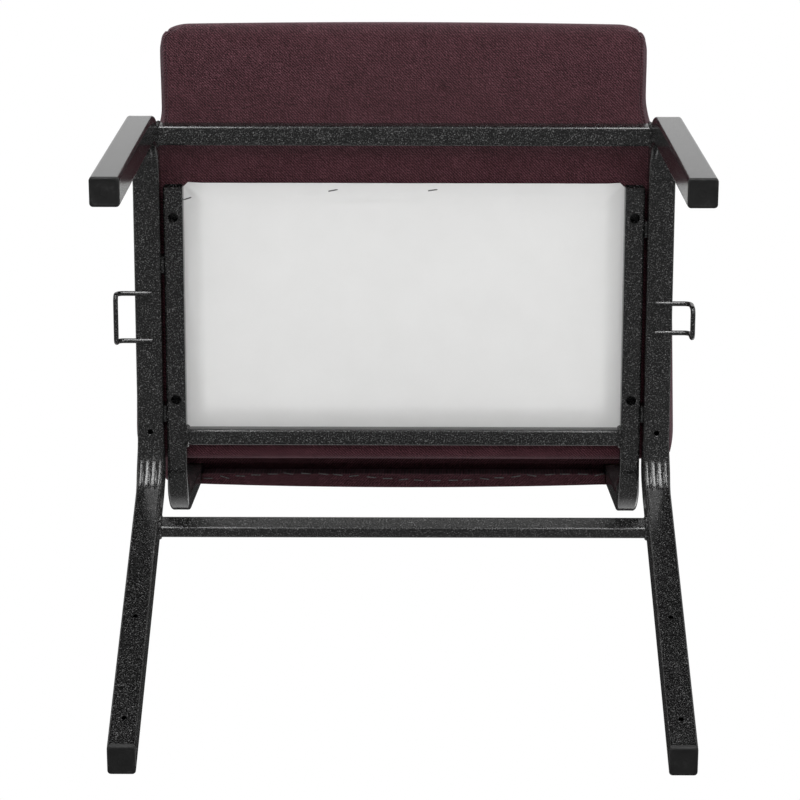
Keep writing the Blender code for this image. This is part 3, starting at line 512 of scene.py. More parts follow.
def makeWelds(name, middle, upward, length, deep, tall):
    # a lumpy ring round each end of a bar: the bar's section + size (cos turn outward + sin turn across)
    ring = roundedSquare(deep, tall, chair["tubeCorner"], sideSteps=14)
    along = np.roll(ring, -1, axis=0) - np.roll(ring, 1, axis=0)
    outward = unit(np.stack([along[:, 1], -along[:, 0]], axis=1))
    arc = np.pi * np.cumsum(np.linalg.norm(along, axis=1))
    lumps = np.sin(arc / weld["pitch"] + weld["wander"] * np.sin(arc / weld["drift"]))
    size = (weld["size"] * (1 + weld["lump"] * lumps))[:, None, None]
    turn = np.linspace(0, 2 * np.pi, 10, endpoint=False)[None, :, None]
    flat = ring[:, None] + size * np.cos(turn) * outward[:, None]
    bead = carried(size * np.sin(turn) * xAxis, flat, np.cross(upward, xAxis), upward)
    faces = gridFaces(*bead.shape[:2], wrapRows=True, wrapColumns=True)
    faces = np.concatenate([faces, faces + bead.shape[0] * bead.shape[1]])
    mesh = makeMesh(name, barEnds(middle, length)[:, None] + bead[None], faces)
    return makePiece(name, mesh, "frame_paint")


def makeBars():
    legGap = 2 * (legX - chair["legTube"] / 2 - chair["touch"])
    railGap = 2 * (railX - chair["railTube"] / 2 - chair["touch"])
    frontPlace = np.array([0, footFront[1] + bars["frontPlace"], chair["railUnderside"] - bars["frontDrop"]])
    front = (frontPlace, sideDirection(90), legGap, *bars["frontSize"])
    makeBar("frontCrossbar", "front_crossbar", *front)
    makeWelds("frontCrossbarWelds", *front)
    rear = (onSeat(0, bars["rearPlace"], -chair["railTube"] / 2), seatUp, railGap, *bars["rearSize"])
    makeBar("seatRearCrossbar", "seat_rear_crossbar", *rear)
    makeWelds("rearCrossbarWelds", *rear)
    lowPlace = footRear * (0, 1, 1) + rearLeg * bars["stretcherHeight"] / rearLeg[2]
    low = (lowPlace, rearLeg, legGap, *bars["stretcherSize"])
    makeBar("rearStretcher", "rear_leg_stretcher", *low)
    makeWelds("rearStretcherWelds", *low)
    top = onBack(0, 0, bars["backPlace"])
    makeBar("backTopCrossbar", "back_top_crossbar", top, backUp, railGap, *bars["backSize"])


for side, sign in bothSides:
    makeLegFrame(side, sign)
    makeBackFrame(side, sign)
makeBars()
print("tube frame: done")

gang = {"wire": 0.00238, "reach": 0.0195, "bend": 0.006, "arm": 0.017, "middle": 0.2218,
        "Loop": {"width": 0.047, "drop": 0.013}, "Hook": {"width": 0.029, "drop": 0.026}}


def makeGangWire(name, node, sign, shape):
    # out from under the rail, down, along and back, with round bends
    half = legX + chair["legTube"] / 2
    level = -chair["legTube"] - chair["touch"] - gang["wire"]
    inner, outer = half - gang["arm"], half + gang["reach"] - gang["wire"]
    front, rear = gang["middle"] - shape["width"] / 2, gang["middle"] + shape["width"] / 2
    x = sign * np.array([inner, outer, outer, outer, outer, inner])
    s = np.array([front, front, front, rear, rear, rear])
    h = level - np.array([0, 0, 1, 1, 0, 0]) * shape["drop"]
    places, headings, _ = bentPath(onSeat(x, s, h), gang["bend"], 14)
    return makePiece(name, roundBar(name, places, headings, gang["wire"]), "frame_paint", node)


makeGangWire("gangLoop", "gang_loop_left", -1, gang["Loop"])
makeGangWire("gangHook", "gang_hook_right", 1, gang["Hook"])

cap = {"edge": 0.0016, "soleCorner": 0.0026, "edgeCorner": 0.0030, "plug": 0.016, "plugCorner": 0.0012,
       "plugFit": 0.0006, "markRadius": 0.0032, "markWidth": 0.0007, "markHeight": 0.00012,
       "dish": 0.0002, "rim": 0.9}


def makeFootCap(name, node, foot, lean):
    # rings of the tube's outline from the sole's middle out, round its edge, up its side and in to the plug
    heading = sideDirection(lean)
    size, bore = chair["legTube"], chair["legTube"] - 2 * chair["legWall"] - cap["plugFit"]
    share = np.linspace(0, 1, 26)[:, None]
    flat = size - 2 * cap["edge"]
    sole = roundedSquare(flat, flat, cap["soleCorner"])[None] * share[..., None]
    mark = cap["markHeight"] * bell(np.linalg.norm(sole, axis=2) - cap["markRadius"], cap["markWidth"])
    soleLevel = cap["dish"] * (1 - share ** 4) - mark * (mark > tiny) + cap["markHeight"] * (share < cap["rim"])
    turn = np.linspace(0, np.pi / 2, 7)[1:]
    edges = [roundedSquare(wide, wide, cap["edgeCorner"]) for wide in flat + 2 * cap["edge"] * np.sin(turn)]
    plug = roundedSquare(bore, bore, cap["plugCorner"])
    rings = np.concatenate([sole, np.array(edges + [edges[-1], plug, plug, plug * 0])])
    low, high = chair["capThickness"], chair["capThickness"] + cap["plug"]
    upper = np.append(cap["edge"] * (1 - np.cos(turn)), [low, low, high, high])
    levels = np.concatenate([soleLevel, np.repeat(upper[:, None], len(plug), 1)])
    grid = carried(foot, rings, xAxis, np.cross(xAxis, heading))
    grid = grid + heading * ((levels - grid[..., 2]) / heading[2])[..., None]
    mesh = makeMesh(name, grid, gridFaces(*grid.shape[:2], wrapColumns=True))
    return makePiece(name, mesh, "cap_plastic", node)


for side, sign in bothSides:
    for end, lean in (("front", 90 - chair["frontLean"]), ("rear", 90 + chair["rearLean"])):
        foot = feet[f"foot_{end}_{side.lower()}"]
        makeFootCap(f"footCap{end.title()}{side}", f"foot_cap_{end}_{side.lower()}", foot, lean)
print("wires and caps: done")


# Upholstery

# the points round a cover, the reach for its normals, and its lower edge as a share of its half width
outlines = {"points": 330, "reach": 0.002, "lowEdge": 0.02}


def roundedLoop(corners, radii, steps=14):
    # each corner of the closed outline becomes an arc of its radius, read off between its two tangent points
    corners, radii = np.asarray(corners, float), np.asarray(radii, float)[:, None]
    before, after = unit(np.roll(corners, 1, 0) - corners), unit(np.roll(corners, -1, 0) - corners)
    half = np.arccos(np.sum(before * after, axis=1, keepdims=True)) / 2
    centre = corners + unit(before + after) * radii / np.sin(half)
    start, end = (corners + way * radii / np.tan(half) - centre for way in (before, after))
    share, turn = np.linspace(0, 1, steps)[None, :, None], (np.pi - 2 * half)[:, None]
    arcs = (np.sin((1 - share) * turn) * start[:, None] + np.sin(share * turn) * end[:, None]) / np.sin(turn)
    return (centre[:, None] + arcs).reshape(-1, 2)


def evenLoop(points, extra=()):
    # the closed outline read again at even steps of its length, and at extra places along its lower edge, with
    # its outward normal
    closed = np.vstack([points, points[:1]])
    length = np.concatenate([[0], np.cumsum(np.linalg.norm(np.diff(closed, axis=0), axis=1))])

    def read(at):
        return np.stack([np.interp(at % length[-1], length, closed[:, k]) for k in (0, 1)], axis=1)

    at = np.linspace(0, length[-1], outlines["points"], endpoint=False)
    if len(extra):
        low = closed[:, 1] < closed[:, 0].max() * outlines["lowEdge"]
        at = np.unique(np.round(np.concatenate([at, np.interp(extra, closed[low, 0], length[low])]), 7))
    run = unit(read(at + outlines["reach"]) - read(at - outlines["reach"]))
    return read(at), np.stack([run[:, 1], -run[:, 0]], axis=1), np.append(at, length[-1])


def facing(normal):
    # how far a unit normal faces each way, as squares that add up to one: right, left, up and down
    a, b = normal[:, :1], normal[:, 1:]
    return [np.clip(way, 0, 1) ** 2 for way in (a, -a, b, -b)]


puff = {"rowStep": 3, "quality": 6, "mass": 0.3, "pressure": 4.0, "frames": 20, "blend": 0.014, "least": 0.001}


def puffed(grid, held, free, columns, cap):
    # a coarse copy of the closed grid is blown up as cloth with its held points pinned; every full point takes
    # the mean of the capped moves around it, weighted by a bell curve of their distance, times how free it is
    picked = np.ix_(np.arange(0, grid.shape[0], puff["rowStep"]),
                    np.round(np.linspace(0, grid.shape[1] - 1, columns)).astype(int))
    coarse = grid[picked]
    rounded = np.round(coarse.reshape(-1, 3), 5)
    points, first, merged = np.unique(rounded, axis=0, return_index=True, return_inverse=True)
    faces = merged.ravel()[gridFaces(*coarse.shape[:2], wrapRows=True)]
    faces = [list(dict.fromkeys(face)) for face in faces[:, ::outwardTurn(points, faces)].tolist()]
    mesh = bpy.data.meshes.new("puff")
    mesh.from_pydata(points.tolist(), [], [face for face in faces if len(face) > 2])
    body = addObject("puff", mesh)
    pinned = np.broadcast_to(held, grid.shape[:2])[picked].ravel()[first]
    body.vertex_groups.new(name="held").add(np.flatnonzero(pinned).tolist(), 1.0, "REPLACE")
    cloth = body.modifiers.new("cloth", "CLOTH")
    cloth.settings.quality = puff["quality"]
    cloth.settings.mass = puff["mass"]
    cloth.settings.vertex_group_mass = "held"
    cloth.settings.use_pressure = True
    cloth.settings.uniform_pressure_force = puff["pressure"]
    cloth.settings.effector_weights.gravity = 0
    cloth.collision_settings.use_collision = False
    cloth.point_cache.frame_end = puff["frames"]
    scene = bpy.context.scene
    for frameNumber in range(1, puff["frames"] + 1):
        scene.frame_set(frameNumber)
    blown = np.empty(len(points) * 3)
    result = body.evaluated_get(bpy.context.evaluated_depsgraph_get())
    result.data.vertices.foreach_get("co", blown)
    scene.frame_set(1)
    bpy.data.objects.remove(body)
    move = blown.reshape(-1, 3) - points
    length = np.linalg.norm(move, axis=1, keepdims=True)
    move = move * cap / (cap + length)
    print("puffed:", len(points), "points, furthest", round(float(length.max()), 4))
    free = np.broadcast_to(free, grid.shape[:2]).ravel()
    full = grid.reshape(-1, 3).copy()
    for some in np.array_split(np.flatnonzero(free > puff["least"]), 40):
        apart = ((full[some][:, None] - points[None]) ** 2).sum(axis=2)
        weight = np.exp(-apart / puff["blend"] ** 2)
        full[some] += free[some][:, None] * (weight @ move) / weight.sum(axis=1, keepdims=True)
    return full.reshape(grid.shape)


def makeCover(name, grid, panel, sideUv, mainUv, *replaced, sharp):
    # a closed grid whose side panel has its own run of cloth
    uv = np.where(panel[None, :, None, None], cornerValues(sideUv), cornerValues(mainUv))
    mesh = makeMesh(name, grid, gridFaces(*grid.shape[:2], wrapRows=True), uv)
    return makePiece(name, mesh, "seat_fabric", *replaced, sharp=sharp)


# edgeWide and edgeDeep are the rounded edge's sizes on top, underneath, at the nose and at the rear
seat = {"nose": -0.0578, "rear": 0.3732, "low": 0.0008, "edge": 0.055, "crown": 0.009, "noseCrown": 0.0018,
        "noseHalf": 0.2340, "middleHalf": 0.2610, "rearHalf": 0.2664, "flare": (0.018, 0.112),
        "flareSkew": 0.006, "widen": (0.13, 0.35), "swell": 0.0004, "swellPlace": -0.022, "swellWidth": 0.02,
        "lowRound": 0.009, "noseRound": 0.040, "rearRound": 0.022, "sideBulge": 0.0012, "drawIn": 0.003,
        "drawTall": 0.033, "edgeWide": (0.026, 0.008, 0.028, 0.036), "edgeDeep": (0.020, 0.006, 0.015, 0.026),
        "sideLine": 0.028, "lineEnd": 0.03, "seamAngle": 0.66, "noseSeam": 0.27, "tipWide": 0.024,
        "tipDeep": 0.015, "seamDepth": 0.0014, "seamWidth": 0.07, "askew": 0.006, "askewFrom": 0.109,
        "held": 0.3, "free": (0.08, 0.88), "puffColumns": 47, "puffCap": 0.014}


def seatHalf(s, way):
    # the nose's half width with a slight swell, then a smooth flare, then a slow widening to the rear's
    swell = seat["swell"] * bell(s - seat["swellPlace"], seat["swellWidth"])
    start = seat["flare"][0] - way * seat["flareSkew"]
    flare = smooth((s - start) / (seat["flare"][1] - start))
    widen = np.clip((s - seat["widen"][0]) / (seat["widen"][1] - seat["widen"][0]), 0, 1)
    middle, rear = seat["middleHalf"] - seat["noseHalf"], seat["rearHalf"] - seat["middleHalf"]
    return seat["noseHalf"] + swell + middle * flare + rear * widen


def makeSeatCover():
    # the side outline carried across: the main panel, a rounded edge with its seam sunk in, and the side panel
    # drawn to a line inside it
    nose, rear, low, edge = seat["nose"], seat["rear"], seat["low"], seat["edge"]
    outline = roundedLoop([(nose, low), (rear, low), (rear, edge), (nose, edge)],
                          [seat["lowRound"], seat["lowRound"], seat["rearRound"], seat["noseRound"]])
    loop, normal, arc = evenLoop(outline)
    rearward, noseward, upward, downward = facing(normal)
    ways = (upward, downward, noseward, rearward)
    edgeWide = sum(size * way for size, way in zip(seat["edgeWide"], ways))
    edgeDeep = sum(size * way for size, way in zip(seat["edgeDeep"], ways))
    seam, seamRow, square = seat["seamAngle"], seat["seamAngle"] + seat["noseSeam"] * noseward, np.pi / 2
    angles = np.concatenate([np.linspace(0.1, seam - 0.14, 6), seam + np.linspace(-0.1, 0.1, 9),
                             np.linspace(seam + 0.16, square, 7)])  # closest together at the seam
    steps, main = np.linspace(0, 1, 10)[1:], np.linspace(-1, 1, 57)
    ones, edges = np.ones(len(steps)), np.ones(len(angles))
    fraction = np.concatenate([-ones, -edges, main, edges, ones])[None]
    angle = np.concatenate([ones * square, angles[::-1], main * 0, angles, ones * square])[None]
    inward = np.concatenate([steps[::-1], edges * 0, main * 0, edges * 0, steps])[None]
    beyond = (angle[0] > seam) | (inward[0] > 0)
    after = seamRow + (angle - seam) * (square - seamRow) / (square - seam)
    angle = np.where(angle > seam, after, angle * seamRow / seam)

    s, h, hand = loop[:, :1], loop[:, 1:], np.sign(fraction)
    half = seatHalf(s, hand) - seat["drawIn"] * (1 - smooth(h / seat["drawTall"]))
    tip = np.clip((nose + seat["tipDeep"] - s) / seat["tipDeep"], 0, 1)
    half = half - downward * seat["tipWide"] * (1 - np.sqrt(1 - tip ** 2))
    x = fraction * (half - edgeWide) + hand * (angle > 0) * edgeWide * np.sin(angle)
    middle, reach = (nose + rear) / 2, (rear - nose) / 2
    level = 1 - fraction ** 2
    crown = seat["crown"] * upward * level * (1 - ((s - middle) / reach) ** 2)
    swell = seat["noseCrown"] * noseward * level
    inset = edgeDeep * (1 - np.cos(angle)) + seat["seamDepth"] * bell(angle - seamRow, seat["seamWidth"])
    side = s - normal[:, :1] * (inset - swell)
    tall = h + crown - normal[:, 1:] * inset
    line = np.clip(s, nose + seat["lineEnd"], rear - seat["lineEnd"])
    outward = 1 - (1 - inward) ** 2
    x = x * (1 - outward) + hand * (seatHalf(line, hand) + seat["sideBulge"]) * outward
    side = side * (1 - inward) + line * inward
    tall = tall * (1 - inward) + seat["sideLine"] * inward
    x = x + seat["askew"] * (side - seat["askewFrom"])
    none, whole = seat["free"]
    free = smooth((upward - none) / (whole - none)) * (1 - outward) * np.cos(np.clip(angle, 0, square)) ** 0.5
    grid = puffed(onSeat(x, side, tall), downward > seat["held"], free, seat["puffColumns"], seat["puffCap"])

    wrap = np.arange(len(loop) + 1) % len(loop)
    across = fraction * (half - edgeWide) + hand * edgeWide * angle
    mainUv = np.stack([across[wrap], np.repeat(arc[:, None], x.shape[1], 1)], axis=2)
    sideUv = np.stack([side[wrap], tall[wrap]], axis=2)
    panel = beyond[:-1] & beyond[1:]
    cover = makeCover("seatCover", grid, panel, sideUv, mainUv, "seat_cover", "seat_foam", sharp=80)
    return cover


makeSeatCover()
print("seat cover: done")

sheet = {"half": 0.2165, "front": 0.0938, "rear": 0.3454, "cornerCut": 0.007, "level": 0.0003, "held": 0.2135,
         "rim": 0.001, "lift": 0.0001, "sag": 0.0040, "roll": 0.020, "ease": 0.03, "hem": 0.0006,
         "hemWidth": 0.004, "hemEnd": 0.012, "dip": 0.0006, "dipPlace": 0.013, "dipWidth": 0.006,
         "crease": 0.0008, "creaseWidth": 0.004, "creaseLong": 0.02, "creaseStart": 0.006, "wave": 0.0003,
         "waveX": 31, "waveS": 43, "waveFrom": 1.3, "pucker": 0.0009, "puckerWidth": 0.007, "thick": 0.0004,
         "staples": ((-0.2088, 0.1096, 18.0), (-0.0686, 0.1012, 11.0), (0.0279, 0.1007, 8.0))}


def sheetLevel(x, s):
    # the sheet hangs by its sag, rolls up to its sides and back, has a low front hem and puckers at its staples
    fromSide, fromFront = sheet["held"] - np.abs(x), s - sheet["front"]
    inside = smooth(fromSide / sheet["ease"])
    sag = sheet["sag"] * smooth(fromSide / sheet["roll"]) * smooth((sheet["rear"] - s) / sheet["ease"])
    hem = sheet["hem"] * bell(fromFront, sheet["hemWidth"]) * smooth(fromSide / sheet["hemEnd"])
    dip = sheet["dip"] * bell(fromFront - sheet["dipPlace"], sheet["dipWidth"]) * inside
    crease = bell(fromSide - fromFront, sheet["creaseWidth"]) * bell(fromFront, sheet["creaseLong"])
    crease = sheet["crease"] * crease * smooth(fromFront / sheet["creaseStart"])
    waves = np.sin(x * sheet["waveX"] + sheet["waveFrom"]) * np.sin(s * sheet["waveS"])
    waves = sheet["wave"] * waves * inside
    h = sheet["level"] - sag - hem + dip - crease + waves
    for stapleX, stapleS, _ in sheet["staples"]:
        h = h + sheet["pucker"] * bell(np.hypot(x - stapleX, s - stapleS), sheet["puckerWidth"])
    return np.where(fromSide < sheet["rim"], sheet["level"], np.minimum(h, sheet["level"] + sheet["lift"]))


def makeDustCover():
    # the sheet's level over an outline with its front corners cut off, its points closer together at the edges
    long = sheet["rear"] - sheet["front"]
    s = (sheet["front"] + long * np.linspace(0, 1, 111) ** 1.4)[:, None]
    cut = sheet["cornerCut"] * np.clip(1 - (s - sheet["front"]) / sheet["cornerCut"], 0, 1)
    x = np.sin(np.linspace(-np.pi / 2, np.pi / 2, 161))[None] * (sheet["half"] - cut)
    grid = onSeat(x, s, sheetLevel(x, s))
    mesh = bpy.data.meshes.new("dustCover")
    mesh.from_pydata(grid.reshape(-1, 3).tolist(), [], gridFaces(*grid.shape[:2]).tolist())
    cover = makePiece("dustCover", mesh, "dust_sheet", "seat_dust_cover", sharp=60)
    thicken = cover.modifiers.new("thickness", "SOLIDIFY")
    thicken.thickness = sheet["thick"]
    thicken.offset = 0
    return cover


makeDustCover()
print("dust cover: done")

# rows are the lower band's depths between the steps of its ledge, mouth and slots
back = {"half": 0.2545, "tall": 0.325, "topCorner": 0.045, "lowCorner": 0.030, "front": 0.0495, "rear": -0.0113,
        "frontCrown": 0.010, "rearCrown": 0.004, "frontRound": 0.016, "rearRound": 0.013,
        "lowRearRound": 0.0014, "drawIn": 0.003, "seamDepth": 0.0014, "mouthRise": 0.032, "mouthFront": 0.0098,
        "mouthRear": 0.0006, "ledgeRise": 0.0138, "ledgeFront": 0.0196, "slotRear": -0.0096,
        "slotInner": 0.2133, "slotOuter": 0.2336, "rows": (0.028, 0.023, 0.015, 0.005, -0.003, -0.0065),
        "flapIn": 0.0010, "flapBulge": 0.0034, "blur": 0.0002, "askew": -0.0045, "lineHalf": 0.13,
        "settle": 0.5, "puffColumns": 30, "puffCap": 0.012}


def makeBackCover():
    # rings of the back's outline from the front's middle, over its edge, across the drawn-in side band, round
    # the rear edge to the rear's middle; the lower band rises into the mouth where the uprights go in
    half, tall, blur = back["half"], back["tall"], back["blur"]
    outline = roundedLoop([(-half, 0), (half, 0), (half, tall), (-half, tall)],
                          [back["lowCorner"], back["lowCorner"], back["topCorner"], back["topCorner"]])
    edges = np.array([back[key] + way * blur for key in ("slotInner", "slotOuter") for way in (-1, 1)])
    loop, normal, arc = evenLoop(outline, np.concatenate([-edges, edges]) - back["askew"])
    low = facing(normal)[3]
    rearRound = back["rearRound"] * (1 - low) + back["lowRearRound"] * low
    bulge = back["flapBulge"] * np.clip(1 - (loop[:, :1] / back["slotInner"]) ** 2, 0, 1)
    faceSteps, turn = np.linspace(1, 0, 15), np.linspace(0, np.pi / 2, 10)[1:]
    top, bottom = back["front"] - back["frontRound"], back["rear"] + back["lowRearRound"]
    levels = [back[key] for key in ("ledgeFront", "mouthFront", "mouthRear", "slotRear")]
    bothEdges = [level + way * blur for level in levels for way in (1, -1)]
    depths = np.sort([top, bottom, *back["rows"], *bothEdges])[::-1]
    band = ((top - depths) / (top - bottom))[1:]
    sizes = [len(kind) for kind in (faceSteps, turn, band, turn, faceSteps[1:])]
    starts = np.cumsum([0] + sizes)
    inward = np.concatenate([faceSteps, np.zeros(sum(sizes[1:4])), faceSteps[::-1][1:]])[None]
    frontTurn = np.concatenate([np.zeros(starts[1]), turn, np.full(sum(sizes[2:]), np.pi / 2)])[None]
    rearTurn = np.concatenate([np.zeros(starts[3]), turn, np.full(sizes[4], np.pi / 2)])[None]
    across = np.concatenate([np.zeros(starts[2]), band, np.ones(sum(sizes[3:]))])[None]
    seam = np.zeros(starts[5])
    seam[[starts[2] - 1, starts[3]]] = back["seamDepth"]

    settled = 1 - smooth(inward / back["settle"])
    rear = back["rear"] + low * (back["flapIn"] - bulge) * settled
    rearRound = rearRound * settled + back["rearRound"] * (1 - settled)
    inset = back["frontRound"] * (1 - np.sin(frontTurn)) + rearRound * (1 - np.cos(rearTurn))
    inset = inset + back["drawIn"] * np.sin(np.pi * across) * (1 - low) + seam[None] * (1 - low)
    f = back["front"] - back["frontRound"] * (1 - np.cos(frontTurn)) - (top - rear - rearRound) * across
    f = f - rearRound * np.sin(rearTurn)
    level = slice(starts[2], starts[3] - 1)
    f[:, level] = f[:, level] * (1 - low) + depths[None, 1:-1] * low
    point = loop[:, None] - normal[:, None] * inset[..., None]
    lineX = np.clip(loop[:, 0], -back["lineHalf"], back["lineHalf"])
    line = np.stack([lineX, np.full(len(loop), tall / 2)], axis=1)[:, None]
    point = point * (1 - inward[..., None]) + line * inward[..., None]
    x, h = point[..., 0], point[..., 1]
    swell = np.clip(1 - (x / half) ** 2, 0, 1) * np.clip(1 - ((h - tall / 2) / (tall / 2)) ** 2, 0, 1)
    ring = np.arange(starts[5])[None]
    f = f + swell * (back["frontCrown"] * (ring < starts[1]) - back["rearCrown"] * (ring >= starts[4]))

    def window(value, lowEnd, highEnd):
        # one between the ends and nothing beyond them, eased over the blur
        return smooth((value - lowEnd + blur) / (2 * blur)) * smooth((highEnd + blur - value) / (2 * blur))

    x = x + back["askew"]
    wide = np.abs(x)
    between = window(wide, -1, back["slotOuter"])
    hollow = window(f, back["mouthRear"], back["mouthFront"]) * between
    ledge = window(f, back["mouthFront"], back["ledgeFront"]) * between
    slots = window(f, back["slotRear"], back["mouthFront"]) * window(wide, back["slotInner"], back["slotOuter"])
    onBand = (ring >= starts[2]) & (ring < starts[3]) & (low > 0.5)
    h = h + np.maximum(back["mouthRise"] * np.maximum(hollow, slots), back["ledgeRise"] * ledge) * onBand
    onFace = ring < starts[2]
    free = (1 - (1 - np.clip(inward / back["settle"], 0, 1)) ** 2) * onFace
    grid = puffed(onBack(x, f, h), ~onFace, free, back["puffColumns"], back["puffCap"])

    wrap = np.arange(len(loop) + 1) % len(loop)
    faceUv = np.stack([x[wrap], h[wrap]], axis=2)
    bandUv = np.stack([np.repeat(arc[:, None], x.shape[1], 1), f[wrap]], axis=2)
    panel = ((ring >= starts[2] - 1) & (ring < starts[3]))[0, :-1]
    cover = makeCover("backCover", grid, panel, bandUv, faceUv, "back_cover", "back_foam", sharp=60)
    return cover


makeBackCover()
print("back cover: done")

staple = {"crown": 0.0098, "wide": 0.0012, "thick": 0.0006, "leg": 0.004, "bend": 0.0008, "corner": 0.00025}
backRow = {"count": 25, "reach": 0.207, "stray": 0.0012, "turn": 0.12, "middle": -0.0024, "sway": 0.0036,
           "period": 0.29, "from": -0.11, "level": -0.0003, "seed": 7}
stapleSteel = makeSteel("stapleWire", 0.08, 0.20)


def makeStaples(name, places, acrosses, outward):
    # one wire form, leg, crown and leg, set at every place with its crown along its own direction
    half = staple["crown"] / 2
    corners = np.array([[-half, 0, -staple["leg"]], [-half, 0, 0], [half, 0, 0], [half, 0, -staple["leg"]]])
    path, headings, _ = bentPath(corners, staple["bend"], 5)
    sideways = np.array([0.0, 1.0, 0.0])
    ring = roundedSquare(staple["wide"], staple["thick"], staple["corner"], 2, 1)
    form = carried(path[:, None], ring, sideways, np.cross(headings, sideways)[:, None])
    form = np.concatenate([path[:1, None].repeat(len(ring), 1), form, path[-1:, None].repeat(len(ring), 1)])
    faces = gridFaces(*form.shape[:2], wrapColumns=True)
    flat = form.reshape(1, -1, 3)
    points = carried(places[:, None], flat[..., :2], acrosses[:, None], np.cross(outward, acrosses)[:, None])
    points = points + flat[..., 2:] * outward
    faces = (faces[None] + np.arange(len(places))[:, None, None] * flat.shape[1]).reshape(-1, 4)
    return makePiece(name, makeMesh(name, points, faces), "zinc_steel", material=stapleSteel)


def turnedCrowns(angles, sideward):
    return np.cos(angles)[:, None] * xAxis + np.sin(angles)[:, None] * sideward


spotX, spotS, spotTurn = np.array(sheet["staples"]).T
spotLevel = sheetLevel(spotX, spotS) - sheet["thick"]
spotCrowns = turnedCrowns(np.radians(spotTurn), -seatAlong)
makeStaples("dustCoverStaples", onSeat(spotX, spotS, spotLevel), spotCrowns, -seatUp)
jitter = np.random.default_rng(backRow["seed"])
rowX = np.linspace(-backRow["reach"], backRow["reach"], backRow["count"])
rowX = rowX + jitter.normal(0, backRow["stray"], backRow["count"])
rowF = backRow["middle"] + backRow["sway"] * np.cos(2 * np.pi * (rowX - backRow["from"]) / backRow["period"])
rowTurn = jitter.normal(0.0, backRow["turn"], backRow["count"])
rowCrowns = turnedCrowns(rowTurn, backForward)
makeStaples("backCoverStaples", onBack(rowX, rowF, backRow["level"]), rowCrowns, -backUp)
print("staples:", len(spotX) + backRow["count"])


# Studio

strip = {"place": np.array([0.54, -2.7, -0.5]), "power": 26.0, "wide": 0.14, "glint": 60.0, "glintWide": 0.20,
         "tall": 3.5}
lamps = {}
for side, sign in bothSides:
    stripPlace = strip["place"] * (sign, 1, 1)
    lamps[side.lower()] = {"place": stripPlace, "power": strip["power"], "size": (strip["wide"], strip["tall"])}
    lamps[side.lower() + "Glint"] = {"place": stripPlace, "power": strip["glint"], "only": "glossy",
                                     "size": (strip["glintWide"], strip["tall"])}
lamps["low"] = {"place": (0.0, -1.7, -2.7), "power": 38.0, "size": (1.8, 0.9), "only": "diffuse"}
lamps["under"] = {"place": (0.0, 2.2, -1.4), "power": 10.0, "size": (2.0, 1.6), "only": "diffuse"}
lamps["top"] = {"place": (-0.3, -2.0, 2.9), "power": 55.0, "size": (2.0, 2.0), "only": "diffuse"}
lamps["rear"] = {"place": (1.6, 1.8, 2.0), "power": 26.0, "size": (2.0, 2.0)}
studio = {"ambient": 0.20, "dull": 0.24, "horizon": 0.1, "floor": 0.82, "floorHalf": 6.0,
          "floorWhite": (0.62, 1.0), "fade": (0.5, 2.6), "aim": np.array([0.0, 0.0, 0.42])}
ceiling = {"level": 2.0, "front": -12.0, "rear": 2.2, "half": 2.5, "dark": 0.03, "pale": 0.74,
           "band": (-1.4, 0.3)}
camera = {"place": (0.00206, -0.84409, -2.39730), "tilt": 18.2026, "yaw": 0.1082, "roll": 0.1298,
          "lens": 134.03, "sensor": 36}


def placed(right, up, back, place):
    turn = np.eye(4)
    turn[:3] = np.stack([right, up, back, place], axis=1)
    return Matrix(turn.tolist())


def makeCamera():
    # the view's axes are the turns about X, Y and Z taken in that order
    t, y, r = np.radians([camera["tilt"], camera["yaw"], camera["roll"]])
    aboutX = np.array([[1, 0, 0], [0, np.cos(t), -np.sin(t)], [0, np.sin(t), np.cos(t)]])
    aboutY = np.array([[np.cos(y), 0, np.sin(y)], [0, 1, 0], [-np.sin(y), 0, np.cos(y)]])
    aboutZ = np.array([[np.cos(r), -np.sin(r), 0], [np.sin(r), np.cos(r), 0], [0, 0, 1]])
    right, down, ahead = aboutZ @ aboutY @ aboutX
    data = bpy.data.cameras.new("lowView")
    data.lens = camera["lens"]
    data.sensor_width = camera["sensor"]
    eye = addObject("lowView", data)
    eye.matrix_world = placed(right, -down, -ahead, camera["place"])
    bpy.context.scene.camera = eye


def makeFloor():
    # a pale floor that shows only from above, so the low camera and lamps see past it; what the camera sees of
    # it fades to plain white away from the chair
    size = studio["floorHalf"]
    mesh = bpy.data.meshes.new("floor")
    corners = [(-size, -size, 0), (size, -size, 0), (size, size, 0), (-size, size, 0)]
    mesh.from_pydata(corners, [], [(0, 1, 2, 3)])
    material, tree, shader = newMaterial("paleFloor", Roughness=0.9, Specular_IOR_Level=0.1)
    shader.inputs["Base Color"].default_value = (*grey(studio["floor"]), 1)
    clear = addNode(tree, "ShaderNodeBsdfTransparent")
    below = addNode(tree, "ShaderNodeNewGeometry").outputs["Backfacing"]
    away = addNode(tree, "ShaderNodeVectorMath", {0: objectPlace(tree)}, operation="LENGTH").outputs["Value"]
    share = spread(tree, away, *studio["fade"], *studio["floorWhite"])
    white = addNode(tree, "ShaderNodeEmission", {"Color": (1, 1, 1, 1), "Strength": 1.0})
    seen = calc(tree, "MULTIPLY", share, addNode(tree, "ShaderNodeLightPath").outputs["Is Camera Ray"])
    pale = addNode(tree, "ShaderNodeMixShader", {0: seen, 1: shader.outputs[0], 2: white.outputs[0]})
    mix = addNode(tree, "ShaderNodeMixShader", {0: below, 1: pale.outputs[0], 2: clear.outputs[0]})
    tree.links.new(mix.outputs[0], tree.nodes["Material Output"].inputs["Surface"])
    mesh.materials.append(material)
    floor = addObject("floor", mesh)
    floor.visible_shadow = False
    floor.visible_glossy = False


